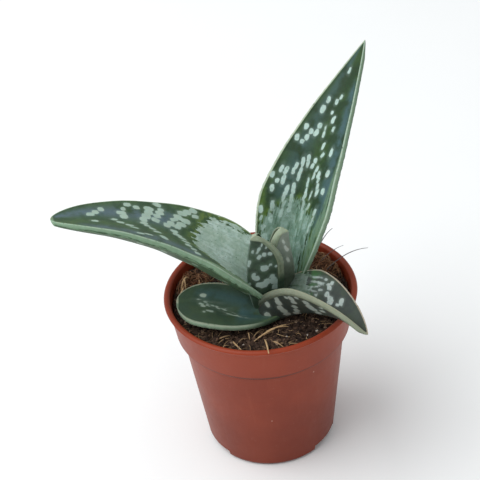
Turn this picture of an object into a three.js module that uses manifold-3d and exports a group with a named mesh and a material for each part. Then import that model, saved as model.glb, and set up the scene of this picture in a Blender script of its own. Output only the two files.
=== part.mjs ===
// Potted tiger aloe: six keeled leaves on a short stem, in a small plastic nursery pot of soil.
// Millimetres, +Z up. The origin is the centre of the pot's flat underside.
import * as THREE from 'three';
import { mergeVertices } from 'three/addons/utils/BufferGeometryUtils.js';
import Module from 'manifold-3d';

const wasm = await Module();
wasm.setup();

// The clearance between pieces that touch.
const GAP = 0.3;

// The pot: the moulding's outside, its wall and its base.
const POT_HEIGHT = 51.7;
const POT_WALL = 0.9;
const LIP_RADIUS = 27.5;
const LIP_THICKNESS = 1.9;
const COLLAR_TOP_RADIUS = 26.3;
const COLLAR_BOTTOM_RADIUS = 25.0;
const COLLAR_BOTTOM = 40.0;
const STEP_HEIGHT = 1.0;
const WALL_TOP_RADIUS = 23.4;
const WALL_BOTTOM_RADIUS = 18.8;
const FOOT_RADIUS = 18.1;
const FOOT_CHAMFER = 1.0;
const FLOOR_THICKNESS = 1.0;
const POT_SEGMENTS = 48;

// The channels under the pot's floor, which end in notches, and the drain hole in each.
const CHANNEL_COUNT = 3;
const CHANNEL_FIRST_AZIMUTH = 327;
const CHANNEL_HALF_ANGLE = 18;
const CHANNEL_HEIGHT = 2.3;
const CHANNEL_INNER_RADIUS = 8;
const DRAIN_HOLE_RADIUS = 2.2;
const DRAIN_HOLE_FROM_AXIS = 13.5;

// The soil: its level at the middle and at the wall, and the size of its crumbs.
const SOIL_LEVEL = 49.1;
const SOIL_EDGE_DROP = 0.4;
const SOIL_CRUMB = 0.5;
const SOIL_RINGS = 10;

// Straw-like fibres on the soil, each from one point to another, both on the ground plan, with the
// height of its middle and of its far end above the soil.
const FIBRE_THICKNESS = 0.7;
const FIBRES = [
  { from: [6.6, -14.0], to: [-2.0, -19.4], middle: 1.0, end: 0.6 },
  { from: [-0.3, -18.6], to: [0.4, -29.0], middle: 3.1, end: 4.4 },
  { from: [-9.6, -16.8], to: [-6.9, -22.4], middle: 0.6, end: 0.4 },
  { from: [-14.0, -17.4], to: [-9.6, -16.1], middle: 0.6, end: 0.4 },
  { from: [0.3, -20.7], to: [9.2, -22.0], middle: 0.5, end: 0.3 },
  { from: [-19.8, 10.5], to: [-22.4, 5.5], middle: 1.6, end: 0.8 },
  { from: [-20.8, 8.0], to: [-23.0, 2.5], middle: 1.0, end: 0.5 },
  { from: [19.0, 7.6], to: [32.0, 10.2], middle: 5.0, end: 6.0 },
  { from: [17.5, 11.6], to: [25.2, 12.2], middle: 3.6, end: 6.0 },
  { from: [16.5, 15.0], to: [22.7, 18.1], middle: 5.0, end: 8.6 },
];

// The stem: a short thick crown that the leaves grow from, and the root stub in the soil's hole. The
// crown narrows over the neck to its top, and into the soil to the root.
const STEM_CENTRE = [3.6, -4.6];
const STEM_RADIUS = 5.0;
const STEM_TOP = 53.8;
const STEM_TOP_SHARE = 0.7;
const STEM_SHOULDER = 1;
const STEM_NECK = 2;
const ROOT_RADIUS = 3.4;
const ROOT_TOP = SOIL_LEVEL - 4;
const ROOT_BOTTOM = 39.2;
const ROOT_TIP_SHARE = 0.6;
const ROOT_TIP_HEIGHT = 3;
const STEM_SEGMENTS = 28;

// How every leaf is made: its margin's thickness, which thins with the wing near the tip, the
// roundness of its valley, belly and margin, how the keel follows the width and thins to the tip, how
// far up the leaf its clasping base reaches and how that fades and sinks, its teeth, the spacing of its
// rings, and how far its base runs into the stem.
const MARGIN_THICKNESS = 1.3;
const TIP_THICKNESS = 0.35;
const MARGIN_THINNING = 0.55;
const VALLEY_ROUNDING = 0.1;
const PLUMPNESS = 2.4;
const MARGIN_BULGE = 0.25;
const KEEL_FULLNESS = 0.6;
const KEEL_THINNING = 0.25;
const CLASP_REACH = 0.45;
const CLASP_FADE = 1.5;
const CLASP_SINK = 0.4;
const TOOTH_HEIGHT = 0.22;
const RING_SPACING = 1.5;
const TIP_STRETCH = 0.16;
const TIP_RINGS = 7;
const LEAF_SHEATH = 3.5;

// The leaves, from the centre of the rosette outwards. root is where the upper side's middle line
// leaves the stem. Heading, rise and roll are in degrees at the base, middle and tip: heading turns
// from +X to +Y, rise lifts from level, and roll turns the leaf about its own length. width is
// the widest spread of the two wings, at the share widestAt of the length; baseShare of it is left at
// the root. fold is the slope of the wings above the middle line, lean makes the first wing wider
// than the second, keel is the thickness at the middle, and clasp is how far the root swells out on
// the second wing's side, where its base clasps the stem and the leaf beside it.
const LEAVES = [
  {
    name: 'leaf_young_right',
    root: [7.2, -3.7, 52.1],
    length: 23.1,
    heading: [-10, -7, -11],
    rise: [82, 93, 89],
    roll: [0, 2],
    width: 12.2,
    baseShare: 0.87,
    widestAt: 0.43,
    taper: 1.98,
    tipPower: 0.59,
    fold: [56, 55, 51],
    lean: 0,
    keel: 2.3,
    clasp: 0,
  },
  {
    name: 'leaf_young_left',
    root: [0.4, -6.2, 52.5],
    length: 23.2,
    heading: [214, 215, 210],
    rise: [74, 91, 96],
    roll: [0, 1],
    width: 15.9,
    baseShare: 0.84,
    widestAt: 0.6,
    taper: 2.26,
    tipPower: 0.74,
    fold: [51, 52, 45],
    lean: 0,
    keel: 3.7,
    clasp: 0,
  },
  {
    name: 'leaf_tall',
    root: [7.3, 2.3, 51.1],
    length: 72.9,
    heading: [58.6, 46, 42.6],
    rise: [77.2, 52.1, 48.3],
    roll: [0, 1],
    width: 25.5,
    baseShare: 0.52,
    widestAt: 0.33,
    taper: 1.3,
    tipPower: 0.97,
    fold: [39, 16.5, 8],
    lean: -0.1,
    keel: 4.6,
    clasp: 0,
  },
  {
    name: 'leaf_long',
    root: [2.0, -3.1, 52.4],
    length: 67.3,
    heading: [154.7, 182.2, 190.3],
    rise: [47.1, 30.9, 6.8],
    roll: [0, -8],
    width: 26.8,
    baseShare: 0.48,
    widestAt: 0.29,
    taper: 1.46,
    tipPower: 0.53,
    fold: [32.5, 11.5, 7.5],
    lean: 0.01,
    keel: 6.5,
    clasp: 0,
  },
  {
    name: 'leaf_low_right',
    root: [2.8, -6.5, 50.7],
    length: 34.8,
    heading: [-32.5, -43, -49],
    rise: [30.5, 11.5, -23],
    roll: [9, 10],
    width: 20.4,
    baseShare: 0.56,
    widestAt: 0.41,
    taper: 1.2,
    tipPower: 0.91,
    fold: [46, 47, 39.5],
    lean: 0,
    keel: 3.2,
    clasp: 3.9,
  },
  {
    name: 'leaf_low_left',
    root: [3.6, -8.8, 50.5],
    length: 28.4,
    heading: [203, 161, 179.8],
    rise: [-1, 8, -1.2],
    roll: [4.4, 9.2],
    width: 17.3,
    baseShare: 0.36,
    widestAt: 0.53,
    taper: 2.19,
    tipPower: 0.5,
    fold: [21, 18, 6],
    lean: 0.06,
    keel: 2.8,
    clasp: 0,
  },
];

const LEAF_COLOUR = 0x3f5f50;
const YOUNG_LEAF_COLOUR = 0x4d6b58;
const STEM_COLOUR = 0x6f8668;
const SOIL_COLOUR = 0x33261e;
const POT_COLOUR = 0x86493a;

const DEGREE = Math.PI / 180;

// Solids

function geometryToSolid(geometry) {
  const bare = geometry.index ? geometry.toNonIndexed() : geometry.clone();
  bare.deleteAttribute('normal');
  bare.deleteAttribute('uv');
  const merged = mergeVertices(bare, 1e-4);
  const corners = merged.index.array;
  const triangles = [];
  for (let i = 0; i < corners.length; i += 3) {
    const [a, b, c] = corners.slice(i, i + 3);
    if (a !== b && b !== c && c !== a) triangles.push(a, b, c);
  }
  return new wasm.Manifold(
    new wasm.Mesh({
      numProp: 3,
      vertProperties: merged.attributes.position.array,
      triVerts: new Uint32Array(triangles),
    }),
  );
}

function ringsToSolid(rings, basePoint, tipPoint) {
  const sides = rings[0].length;
  const points = [basePoint, ...rings.flat(), tipPoint];
  const tip = points.length - 1;
  const triangles = [];
  const at = (ring, k) => 1 + ring * sides + (k % sides);
  for (let k = 0; k < sides; k++) {
    triangles.push(0, at(0, k + 1), at(0, k));
    triangles.push(tip, at(rings.length - 1, k), at(rings.length - 1, k + 1));
    for (let ring = 0; ring < rings.length - 1; ring++) {
      triangles.push(at(ring, k), at(ring, k + 1), at(ring + 1, k + 1));
      triangles.push(at(ring, k), at(ring + 1, k + 1), at(ring + 1, k));
    }
  }
  return new wasm.Manifold(
    new wasm.Mesh({
      numProp: 3,
      vertProperties: new Float32Array(points.flatMap((p) => p.toArray())),
      triVerts: new Uint32Array(triangles),
    }),
  );
}

function largestBody(solid) {
  return solid.decompose().reduce((a, b) => (a.volume() > b.volume() ? a : b));
}

function solidToMesh(name, solid, colour, roughness) {
  const data = solid.getMesh();
  const geometry = new THREE.BufferGeometry();
  geometry.setAttribute('position', new THREE.BufferAttribute(data.vertProperties, 3));
  geometry.setIndex(new THREE.BufferAttribute(data.triVerts, 1));
  geometry.computeVertexNormals();
  const material = new THREE.MeshStandardMaterial({ color: colour, roughness, metalness: 0 });
  const mesh = new THREE.Mesh(geometry, material);
  mesh.name = name;
  return mesh;
}

// A profile of [radius, height] points turned about the Z axis.
function turned(points, segments) {
  const profile = points.map(([r, z]) => new THREE.Vector2(r, z));
  const geometry = new THREE.LatheGeometry(profile, segments);
  geometry.rotateX(Math.PI / 2);
  return geometry;
}

// Pot

function lipArc() {
  const radius = LIP_THICKNESS / 2;
  const centre = [LIP_RADIUS - radius, POT_HEIGHT - radius];
  return Array.from({ length: 7 }, (_, i) => {
    const angle = (i / 6) * Math.PI;
    return [centre[0] + radius * Math.cos(angle), centre[1] + radius * Math.sin(angle)];
  });
}

function potInsideRadius(z) {
  if (z > COLLAR_BOTTOM) {
    const share = (z - COLLAR_BOTTOM) / (POT_HEIGHT - COLLAR_BOTTOM);
    return COLLAR_BOTTOM_RADIUS + (COLLAR_TOP_RADIUS - COLLAR_BOTTOM_RADIUS) * share - POT_WALL;
  }
  const share = z / (COLLAR_BOTTOM - STEP_HEIGHT);
  return WALL_BOTTOM_RADIUS + (WALL_TOP_RADIUS - WALL_BOTTOM_RADIUS) * share - POT_WALL;
}

// A block between two radii and two heights, spread about an azimuth.
function sector(inner, outer, azimuth, halfAngle, low, high) {
  const first = (azimuth - halfAngle) * DEGREE;
  const last = (azimuth + halfAngle) * DEGREE;
  const shape = new THREE.Shape();
  shape.absarc(0, 0, outer, first, last, false);
  shape.absarc(0, 0, inner, last, first, true);
  shape.closePath();
  const geometry = new THREE.ExtrudeGeometry(shape, {
    depth: high - low,
    bevelEnabled: false,
    curveSegments: 5,
  });
  return geometryToSolid(geometry.translate(0, 0, low));
}

function channelAzimuths() {
  const step = 360 / CHANNEL_COUNT;
  return Array.from({ length: CHANNEL_COUNT }, (_, i) => CHANNEL_FIRST_AZIMUTH + i * step);
}

// The raised floor over each channel, as seen from inside the pot, grown by a margin.
function channelRoofs(grow) {
  const wall = POT_WALL + grow;
  const halfAngle = CHANNEL_HALF_ANGLE + wall / WALL_BOTTOM_RADIUS / DEGREE;
  const top = CHANNEL_HEIGHT + FLOOR_THICKNESS + grow;
  const inner = CHANNEL_INNER_RADIUS - wall;
  const outer = WALL_BOTTOM_RADIUS - POT_WALL / 2 + grow;
  return channelAzimuths().map((azimuth) =>
    sector(inner, outer, azimuth, halfAngle, FLOOR_THICKNESS / 2, top));
}

function makePot() {
  const stepTop = COLLAR_BOTTOM + STEP_HEIGHT;
  const outside = [
    [0, 0],
    [FOOT_RADIUS, 0],
    [WALL_BOTTOM_RADIUS, FOOT_CHAMFER],
    [WALL_TOP_RADIUS, COLLAR_BOTTOM - STEP_HEIGHT],
    [COLLAR_BOTTOM_RADIUS, COLLAR_BOTTOM],
    [COLLAR_TOP_RADIUS, POT_HEIGHT - LIP_THICKNESS],
  ];
  const inside = [
    [potInsideRadius(stepTop), stepTop],
    [potInsideRadius(COLLAR_BOTTOM - STEP_HEIGHT), COLLAR_BOTTOM],
    [potInsideRadius(FLOOR_THICKNESS + 1), FLOOR_THICKNESS + 1],
    [potInsideRadius(FLOOR_THICKNESS) - 1, FLOOR_THICKNESS],
    [0, FLOOR_THICKNESS],
  ];
  let pot = geometryToSolid(turned([...outside, ...lipArc(), ...inside], POT_SEGMENTS));
  for (const roof of channelRoofs(0)) pot = pot.add(roof);
  for (const azimuth of channelAzimuths()) {
    pot = pot.subtract(
      sector(CHANNEL_INNER_RADIUS, LIP_RADIUS, azimuth, CHANNEL_HALF_ANGLE, -1, CHANNEL_HEIGHT));
    const hole = new THREE.CylinderGeometry(DRAIN_HOLE_RADIUS, DRAIN_HOLE_RADIUS, 8, 16);
    hole.rotateX(Math.PI / 2);
    hole.translate(
      DRAIN_HOLE_FROM_AXIS * Math.cos(azimuth * DEGREE),
      DRAIN_HOLE_FROM_AXIS * Math.sin(azimuth * DEGREE),
      0,
    );
    pot = pot.subtract(geometryToSolid(hole));
  }
  return pot;
}

// Soil

function soilHeight(x, y) {
  const outward = Math.hypot(x, y) / COLLAR_TOP_RADIUS;
  const broad = Math.sin(0.31 * x + 0.8) * Math.cos(0.27 * y - 0.5);
  const crumbs = Math.sin(1.1 * x + 0.7 * y) * Math.cos(0.9 * y - 0.8 * x + 1.3);
  const fine = Math.sin(2.1 * x - 1.2 * y + 0.4) * Math.sin(1.6 * y + 0.9 * x);
  const relief = SOIL_CRUMB * (0.6 * broad + 0.6 * crumbs + 0.5 * fine);
  return SOIL_LEVEL - SOIL_EDGE_DROP * outward * outward + relief;
}

function makeSoilBody() {
  const stepTop = COLLAR_BOTTOM + STEP_HEIGHT + GAP;
  const top = potInsideRadius(SOIL_LEVEL) - GAP;
  const bottom = FLOOR_THICKNESS + GAP;
  const profile = [
    [0, bottom],
    [potInsideRadius(bottom) - GAP - 1, bottom],
    [potInsideRadius(bottom + 1) - GAP, bottom + 1],
    [potInsideRadius(COLLAR_BOTTOM - STEP_HEIGHT) - GAP, COLLAR_BOTTOM],
    [potInsideRadius(stepTop) - GAP, stepTop],
  ];
  for (let i = SOIL_RINGS; i >= 0; i--) profile.push([(top * i) / SOIL_RINGS, SOIL_LEVEL]);
  const geometry = turned(profile, POT_SEGMENTS);
  const places = geometry.attributes.position;
  for (let i = 0; i < places.count; i++) {
    if (places.getZ(i) > SOIL_LEVEL - 0.01) {
      places.setZ(i, soilHeight(places.getX(i), places.getY(i)));
    }
  }
  return geometryToSolid(geometry);
}

// One fibre: a thin tapering rod that starts in the soil and bends up over it.
function makeFibre({ from, to, middle, end }) {
  const start = new THREE.Vector3(from[0], from[1], soilHeight(...from) - 0.8);
  const half = [(from[0] + to[0]) / 2, (from[1] + to[1]) / 2];
  const centre = new THREE.Vector3(...half, soilHeight(...half) + middle);
  const finish = new THREE.Vector3(to[0], to[1], soilHeight(...to) + end);
  const curve = new THREE.CatmullRomCurve3([start, centre, finish]);
  const steps = 4;
  const sides = 5;
  const rings = [];
  for (let i = 0; i <= steps; i++) {
    const along = curve.getTangentAt(i / steps);
    const across = new THREE.Vector3(-along.y, along.x, 0).normalize();
    const upward = new THREE.Vector3().crossVectors(along, across);
    const place = curve.getPointAt(i / steps);
    rings.push(Array.from({ length: sides }, (_, k) => {
      const angle = (2 * Math.PI * k) / sides;
      return place.clone()
        .addScaledVector(across, (FIBRE_THICKNESS / 2) * Math.cos(angle))
        .addScaledVector(upward, (FIBRE_THICKNESS / 2) * Math.sin(angle));
    }));
  }
  return ringsToSolid(rings, start, finish);
}

// Stem

function makeStem(grow) {
  const geometry = turned(
    [
      [0, ROOT_BOTTOM - grow],
      [ROOT_RADIUS * ROOT_TIP_SHARE + grow, ROOT_BOTTOM - grow],
      [ROOT_RADIUS + grow, ROOT_BOTTOM + ROOT_TIP_HEIGHT],
      [ROOT_RADIUS + grow, ROOT_TOP],
      [STEM_RADIUS + grow, SOIL_LEVEL - STEM_SHOULDER],
      [STEM_RADIUS + grow, SOIL_LEVEL + STEM_NECK],
      [STEM_RADIUS * STEM_TOP_SHARE + grow, STEM_TOP - STEM_SHOULDER],
      [0, STEM_TOP + grow],
    ],
    STEM_SEGMENTS,
  );
  return geometryToSolid(geometry.translate(...STEM_CENTRE, 0));
}

// The plain hole in the soil that the root stub stands in.
function makeStemHole() {
  const radius = STEM_RADIUS + GAP;
  const root = ROOT_RADIUS + GAP;
  const bottom = ROOT_BOTTOM - GAP;
  const above = POT_HEIGHT + 3;
  const geometry = turned(
    [
      [0, bottom],
      [root, bottom],
      [root, ROOT_TOP - GAP],
      [radius, SOIL_LEVEL - STEM_SHOULDER - GAP],
      [radius, above],
      [0, above],
    ],
    STEM_SEGMENTS,
  );
  return geometryToSolid(geometry.translate(...STEM_CENTRE, 0));
}

// Leaves

// A smooth course through a value at the base, the middle and the tip.
function course([base, middle, tip], u) {
  return base * (1 - u) * (1 - 2 * u) + middle * 4 * u * (1 - u) + tip * u * (2 * u - 1);
}

// The middle line's place and the leaf's own axes at the share u of its length.
function leafAxes(leaf, u) {
  const heading = course(leaf.heading, u) * DEGREE;
  const rise = course(leaf.rise, u) * DEGREE;
  const roll = (leaf.roll[0] + (leaf.roll[1] - leaf.roll[0]) * u) * DEGREE;
  const level = Math.cos(rise);
  const along = new THREE.Vector3(
    level * Math.cos(heading), level * Math.sin(heading), Math.sin(rise));
  const upright = new THREE.Vector3(
    -Math.sin(rise) * Math.cos(heading), -Math.sin(rise) * Math.sin(heading), level);
  const sideways = new THREE.Vector3().crossVectors(upright, along);
  const up = upright.clone().multiplyScalar(Math.cos(roll)).addScaledVector(sideways, Math.sin(roll));
  const side = sideways.multiplyScalar(Math.cos(roll)).addScaledVector(upright, -Math.sin(roll));
  return { along, up, side };
}

function leafHalfWidth(leaf, u) {
  const share = u < leaf.widestAt
    ? leaf.baseShare + (1 - leaf.baseShare) * Math.sin((Math.PI / 2) * (u / leaf.widestAt))
    : (1 - ((u - leaf.widestAt) / (1 - leaf.widestAt)) ** leaf.taper) ** leaf.tipPower;
  return (leaf.width / 2) * share;
}

// The shares of the length where the leaf has a ring: even steps, then closer ones at the tip.
function ringPlaces(leaf, grow) {
  const even = Math.round((leaf.length * (1 - TIP_STRETCH) + LEAF_SHEATH) / RING_SPACING);
  const start = -(LEAF_SHEATH + grow) / leaf.length;
  const places = [];
  for (let i = 0; i <= even; i++) places.push(start + ((1 - TIP_STRETCH - start) * i) / even);
  for (let i = 1; i < TIP_RINGS; i++) {
    places.push(1 - TIP_STRETCH * (1 - i / TIP_RINGS) ** 2);
  }
  return places;
}

// A leaf, grown on every side by a margin. Each ring runs over the two wings' upper faces, round
// the toothed margin, and back over the keeled lower faces.
function makeLeaf(leaf, grow) {
  const upperShares = [0.985, 0.86, 0.55, 0.25, 0, -0.25, -0.55, -0.86, -0.985];
  const lowerShares = [-1, -0.95, -0.62, -0.3, 0, 0.3, 0.62, 0.95, 1];
  const rings = [];
  const middle = new THREE.Vector3(...leaf.root);
  const fine = 4;
  const places = ringPlaces(leaf, grow);
  middle.addScaledVector(leafAxes(leaf, places[0] / 2).along, places[0] * leaf.length);
  places.forEach((u, i) => {
    if (i > 0) {
      const step = (u - places[i - 1]) / fine;
      for (let k = 0; k < fine; k++) {
        const { along } = leafAxes(leaf, places[i - 1] + (k + 0.5) * step);
        middle.addScaledVector(along, step * leaf.length);
      }
    }
    const { up, side } = leafAxes(leaf, u);
    const half = leafHalfWidth(leaf, u);
    const full = (2 * half) / leaf.width;
    const fold = course(leaf.fold, u) * DEGREE;
    const margin = Math.min(MARGIN_THICKNESS, MARGIN_THINNING * half + TIP_THICKNESS);
    const edge = margin / Math.cos(fold);
    const clasp = leaf.clasp * Math.max(0, 1 - Math.max(0, u) / CLASP_REACH) ** CLASP_FADE;
    const belly = leaf.keel * full ** KEEL_FULLNESS * (1 - KEEL_THINNING * u);
    const keel = Math.max(belly, edge);
    const tooth = i % 2 === 1 && u < 0.9 ? TOOTH_HEIGHT : 0;
    const skin = grow / Math.cos(fold);
    const point = (share, lower) => {
      const t = Math.abs(share);
      const wing = half * (1 + Math.sign(share) * leaf.lean);
      const reach = wing * share * Math.cos(fold) + Math.sign(share) * grow * t;
      const bend = Math.hypot(t, VALLEY_ROUNDING) - VALLEY_ROUNDING;
      const face = wing * Math.sin(fold) * bend / (Math.hypot(1, VALLEY_ROUNDING) - VALLEY_ROUNDING);
      const depth = edge + (keel - edge) * (1 - t ** PLUMPNESS);
      const swelling = share > 0 ? (1 - t) ** 4 : 1 - t ** PLUMPNESS;
      const hug = lower ? (clasp + grow * Math.min(1, clasp)) * swelling : 0;
      let lift = face + skin;
      if (lower) lift = face - depth - skin - CLASP_SINK * hug;
      if (t === 1) lift = face - edge / 2;
      const out = t === 1 ? Math.sign(share) * (MARGIN_BULGE * edge + grow + tooth) : 0;
      return middle.clone().addScaledVector(side, reach + out - hug).addScaledVector(up, lift);
    };
    rings.push([
      ...upperShares.map((share) => point(share, false)),
      ...lowerShares.map((share) => point(share, true)),
    ]);
  });
  const last = places[places.length - 1];
  const tip = middle.clone().addScaledVector(
    leafAxes(leaf, 1).along, (1 - last) * leaf.length + grow);
  const valley = rings[0][upperShares.indexOf(0)];
  const ridge = rings[0][upperShares.length + lowerShares.indexOf(0)];
  const base = valley.clone().lerp(ridge, 0.5);
  return ringsToSolid(rings, base, tip);
}

// Assembly

// Inner leaves stay whole, and each outer one is cut clear of the stem and of those inside it.
const stem = makeStem(0);
const leaves = [];
let taken = makeStem(GAP);
for (const leaf of LEAVES) {
  leaves.push(largestBody(makeLeaf(leaf, 0).subtract(taken)));
  taken = taken.add(makeLeaf(leaf, GAP));
}

let soil = makeSoilBody();
for (const fibre of FIBRES) soil = soil.add(makeFibre(fibre));
soil = soil.subtract(makeStemHole());
for (const leaf of LEAVES) soil = soil.subtract(makeLeaf(leaf, GAP));
for (const roof of channelRoofs(GAP)) soil = soil.subtract(roof);
soil = largestBody(soil);

const plant = new THREE.Group();
plant.add(solidToMesh('stem', stem, STEM_COLOUR, 0.6));
LEAVES.forEach((leaf, i) => {
  const colour = leaf.name.startsWith('leaf_young') ? YOUNG_LEAF_COLOUR : LEAF_COLOUR;
  plant.add(solidToMesh(leaf.name, leaves[i], colour, 0.45));
});

const pottedAloe = new THREE.Group();
pottedAloe.add(solidToMesh('pot', makePot(), POT_COLOUR, 0.5));
pottedAloe.add(solidToMesh('soil', soil, SOIL_COLOUR, 0.95));
pottedAloe.add(plant);

export default pottedAloe;
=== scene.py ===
# Potted tiger aloe: the finished look, built around the part's solids. Metres, +Z up.
import math

import bmesh
import bpy
import numpy as np
from mathutils import Matrix, Vector, noise


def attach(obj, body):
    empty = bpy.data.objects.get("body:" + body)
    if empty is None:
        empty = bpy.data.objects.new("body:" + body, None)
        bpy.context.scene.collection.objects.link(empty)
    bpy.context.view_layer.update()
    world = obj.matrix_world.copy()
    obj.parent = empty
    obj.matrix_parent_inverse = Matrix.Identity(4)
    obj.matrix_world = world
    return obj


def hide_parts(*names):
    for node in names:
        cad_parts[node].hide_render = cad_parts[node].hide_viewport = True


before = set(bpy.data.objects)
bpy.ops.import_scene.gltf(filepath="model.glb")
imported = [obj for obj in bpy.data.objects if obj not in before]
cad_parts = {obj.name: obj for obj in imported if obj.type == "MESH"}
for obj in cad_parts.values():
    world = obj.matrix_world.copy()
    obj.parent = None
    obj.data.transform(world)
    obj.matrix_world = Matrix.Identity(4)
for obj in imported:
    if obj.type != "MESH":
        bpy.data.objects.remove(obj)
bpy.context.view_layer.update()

MM = 0.001

# The pot, in millimetres: the same moulding as the part's, with its edges rounded.
POT_HEIGHT = 51.7
POT_WALL = 0.9
LIP_RADIUS = 27.5
LIP_THICKNESS = 1.9
COLLAR_TOP_RADIUS = 26.3
COLLAR_BOTTOM_RADIUS = 25.0
COLLAR_BOTTOM = 40.0
STEP_HEIGHT = 1.0
WALL_TOP_RADIUS = 23.4
WALL_BOTTOM_RADIUS = 18.8
FOOT_RADIUS = 18.1
FOOT_CHAMFER = 1.0
FLOOR_THICKNESS = 1.0
EDGE_ROUNDING = 0.45
SHARP_ANGLE = 32
CHANNEL_COUNT = 3
CHANNEL_FIRST_AZIMUTH = 327
CHANNEL_HALF_ANGLE = 18
CHANNEL_HEIGHT = 2.3
CHANNEL_INNER_RADIUS = 8
DRAIN_HOLE_RADIUS = 2.2
DRAIN_HOLE_FROM_AXIS = 13.5
POT_SEGMENTS = 192
HOLE_SEGMENTS = 32
LIP_STEPS = 13

# The soil's surface, its crumbs, and the patches of coir that show at the pot's edge.
SOIL_LEVEL = 49.1
SOIL_EDGE_DROP = 0.4
SOIL_CRUMB = 0.5
SOIL_RADIUS = 24.9
SOIL_DEPTH = 5.0
SCATTER_RADIUS = SOIL_RADIUS - 0.4
LUMP_SHAPES = 40
CRUMB_COUNT = 5200
CRUMB_SIZES = (0.12, 0.62)
HAIR_COUNT = 520
HAIR_BEND = 0.12
COIR_PATCHES = [
    dict(centre=(-19.0, 8.5), radius=5.5, hairs=110),
    dict(centre=(20.5, 11.5), radius=6.5, hairs=170),
    dict(centre=(13.5, 18.5), radius=5.5, hairs=90),
]

# The stem: a short crown between the leaves and a root stub in the soil.
STEM_CENTRE = (3.6, -4.6)
STEM_RADIUS = 5.0
STEM_TOP = 53.8
ROOT_RADIUS = 3.4
ROOT_BOTTOM = 39.2
STEM_ROUNDING = 1.0
STEM_SEGMENTS = 64

# Every leaf's section: its margin with low teeth, the rib beside it, the valley, the keel, the waves
# of its faces, and how a leaf clasps the stem.
MARGIN_THICKNESS = 1.3
TIP_THICKNESS = 0.35
MARGIN_THINNING = 0.55
MARGIN_BULGE = 0.22
MARGIN_ROUND = 1.15
TOOTH_HEIGHT = 0.05
RIB_HEIGHT = 0.12
RIB_WIDTH = 1.1
WAVE_HEIGHT = 0.16
VALLEY_ROUNDING = 0.1
PLUMPNESS = 2.4
KEEL_FULLNESS = 0.6
KEEL_THINNING = 0.25
CLASP_REACH = 0.45
CLASP_FADE = 1.5
CLASP_SINK = 0.4
TIP_ROUNDING = 0.9
TIP_BLUNTNESS = 0.9
LEAF_SHEATH = 3.5

# The points of a leaf's skin: the share of a wing that its faces cover, and the steps along and across
# in millimetres. The tip part, a share of the length, has its own stations.
FACE_SHARE = 0.955
LEAF_STEP = 0.3
UPPER_STEP = 0.32
LOWER_STEP = 0.4
BEAD_POINTS = 7
TIP_PART = 0.1
TIP_STATIONS = 24

# How much a spot's place along and across the leaf, its size and its tilt vary by chance, and how
# blunt its oval is.
SPOT_SHIFT = (0.24, 0.14)
SPOT_SCALE = (0.82, 1.2)
SPOT_TILT = 0.16
SPOT_BLUNTNESS = 2.8

# What the skin takes where there is no spot, how deep its pale base is counted, and how far apart the
# streaks of the two faces are. Millimetres.
NO_SPOT = -3.0
PALE_REACH = 4.0
FACE_APART = 40.0

# The leaves, with the same driving sizes as the part's: places and lengths in millimetres,
# angles in degrees at the base, the middle and the tip.
LEAVES = {
    "leaf_young_right": dict(
        root=(7.2, -3.7, 52.1), length=23.1, heading=(-10, -7, -11), rise=(82, 93, 89), roll=(0, 2),
        width=12.2, base_share=0.87, widest_at=0.43, taper=1.98, tip_power=0.59,
        fold=(56, 55, 51), lean=0.0, keel=2.3, clasp=0.0),
    "leaf_young_left": dict(
        root=(0.4, -6.2, 52.5), length=23.2, heading=(214, 215, 210), rise=(74, 91, 96), roll=(0, 1),
        width=15.9, base_share=0.84, widest_at=0.6, taper=2.26, tip_power=0.74,
        fold=(51, 52, 45), lean=0.0, keel=3.7, clasp=0.0),
    "leaf_tall": dict(
        root=(7.3, 2.3, 51.1), length=72.9, heading=(58.6, 46, 42.6), rise=(77.2, 52.1, 48.3),
        roll=(0, 1), width=25.5, base_share=0.52, widest_at=0.33, taper=1.3, tip_power=0.97,
        fold=(39, 16.5, 8), lean=-0.1, keel=4.6, clasp=0.0),
    "leaf_long": dict(
        root=(2.0, -3.1, 52.4), length=67.3, heading=(154.7, 182.2, 190.3), rise=(47.1, 30.9, 6.8),
        roll=(0, -8), width=26.8, base_share=0.48, widest_at=0.29, taper=1.46, tip_power=0.53,
        fold=(32.5, 11.5, 7.5), lean=0.01, keel=6.5, clasp=0.0),
    "leaf_low_right": dict(
        root=(2.8, -6.5, 50.7), length=34.8, heading=(-32.5, -43, -49), rise=(30.5, 11.5, -23),
        roll=(9, 10), width=20.4, base_share=0.56, widest_at=0.41, taper=1.2, tip_power=0.91,
        fold=(46, 47, 39.5), lean=0.0, keel=3.2, clasp=3.9),
    "leaf_low_left": dict(
        root=(3.6, -8.8, 50.5), length=28.4, heading=(203, 161, 179.8), rise=(-1, 8, -1.2),
        roll=(4.4, 9.2), width=17.3, base_share=0.36, widest_at=0.53, taper=2.19, tip_power=0.5,
        fold=(21, 18, 6), lean=0.06, keel=2.8, clasp=0.0),
}

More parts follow.
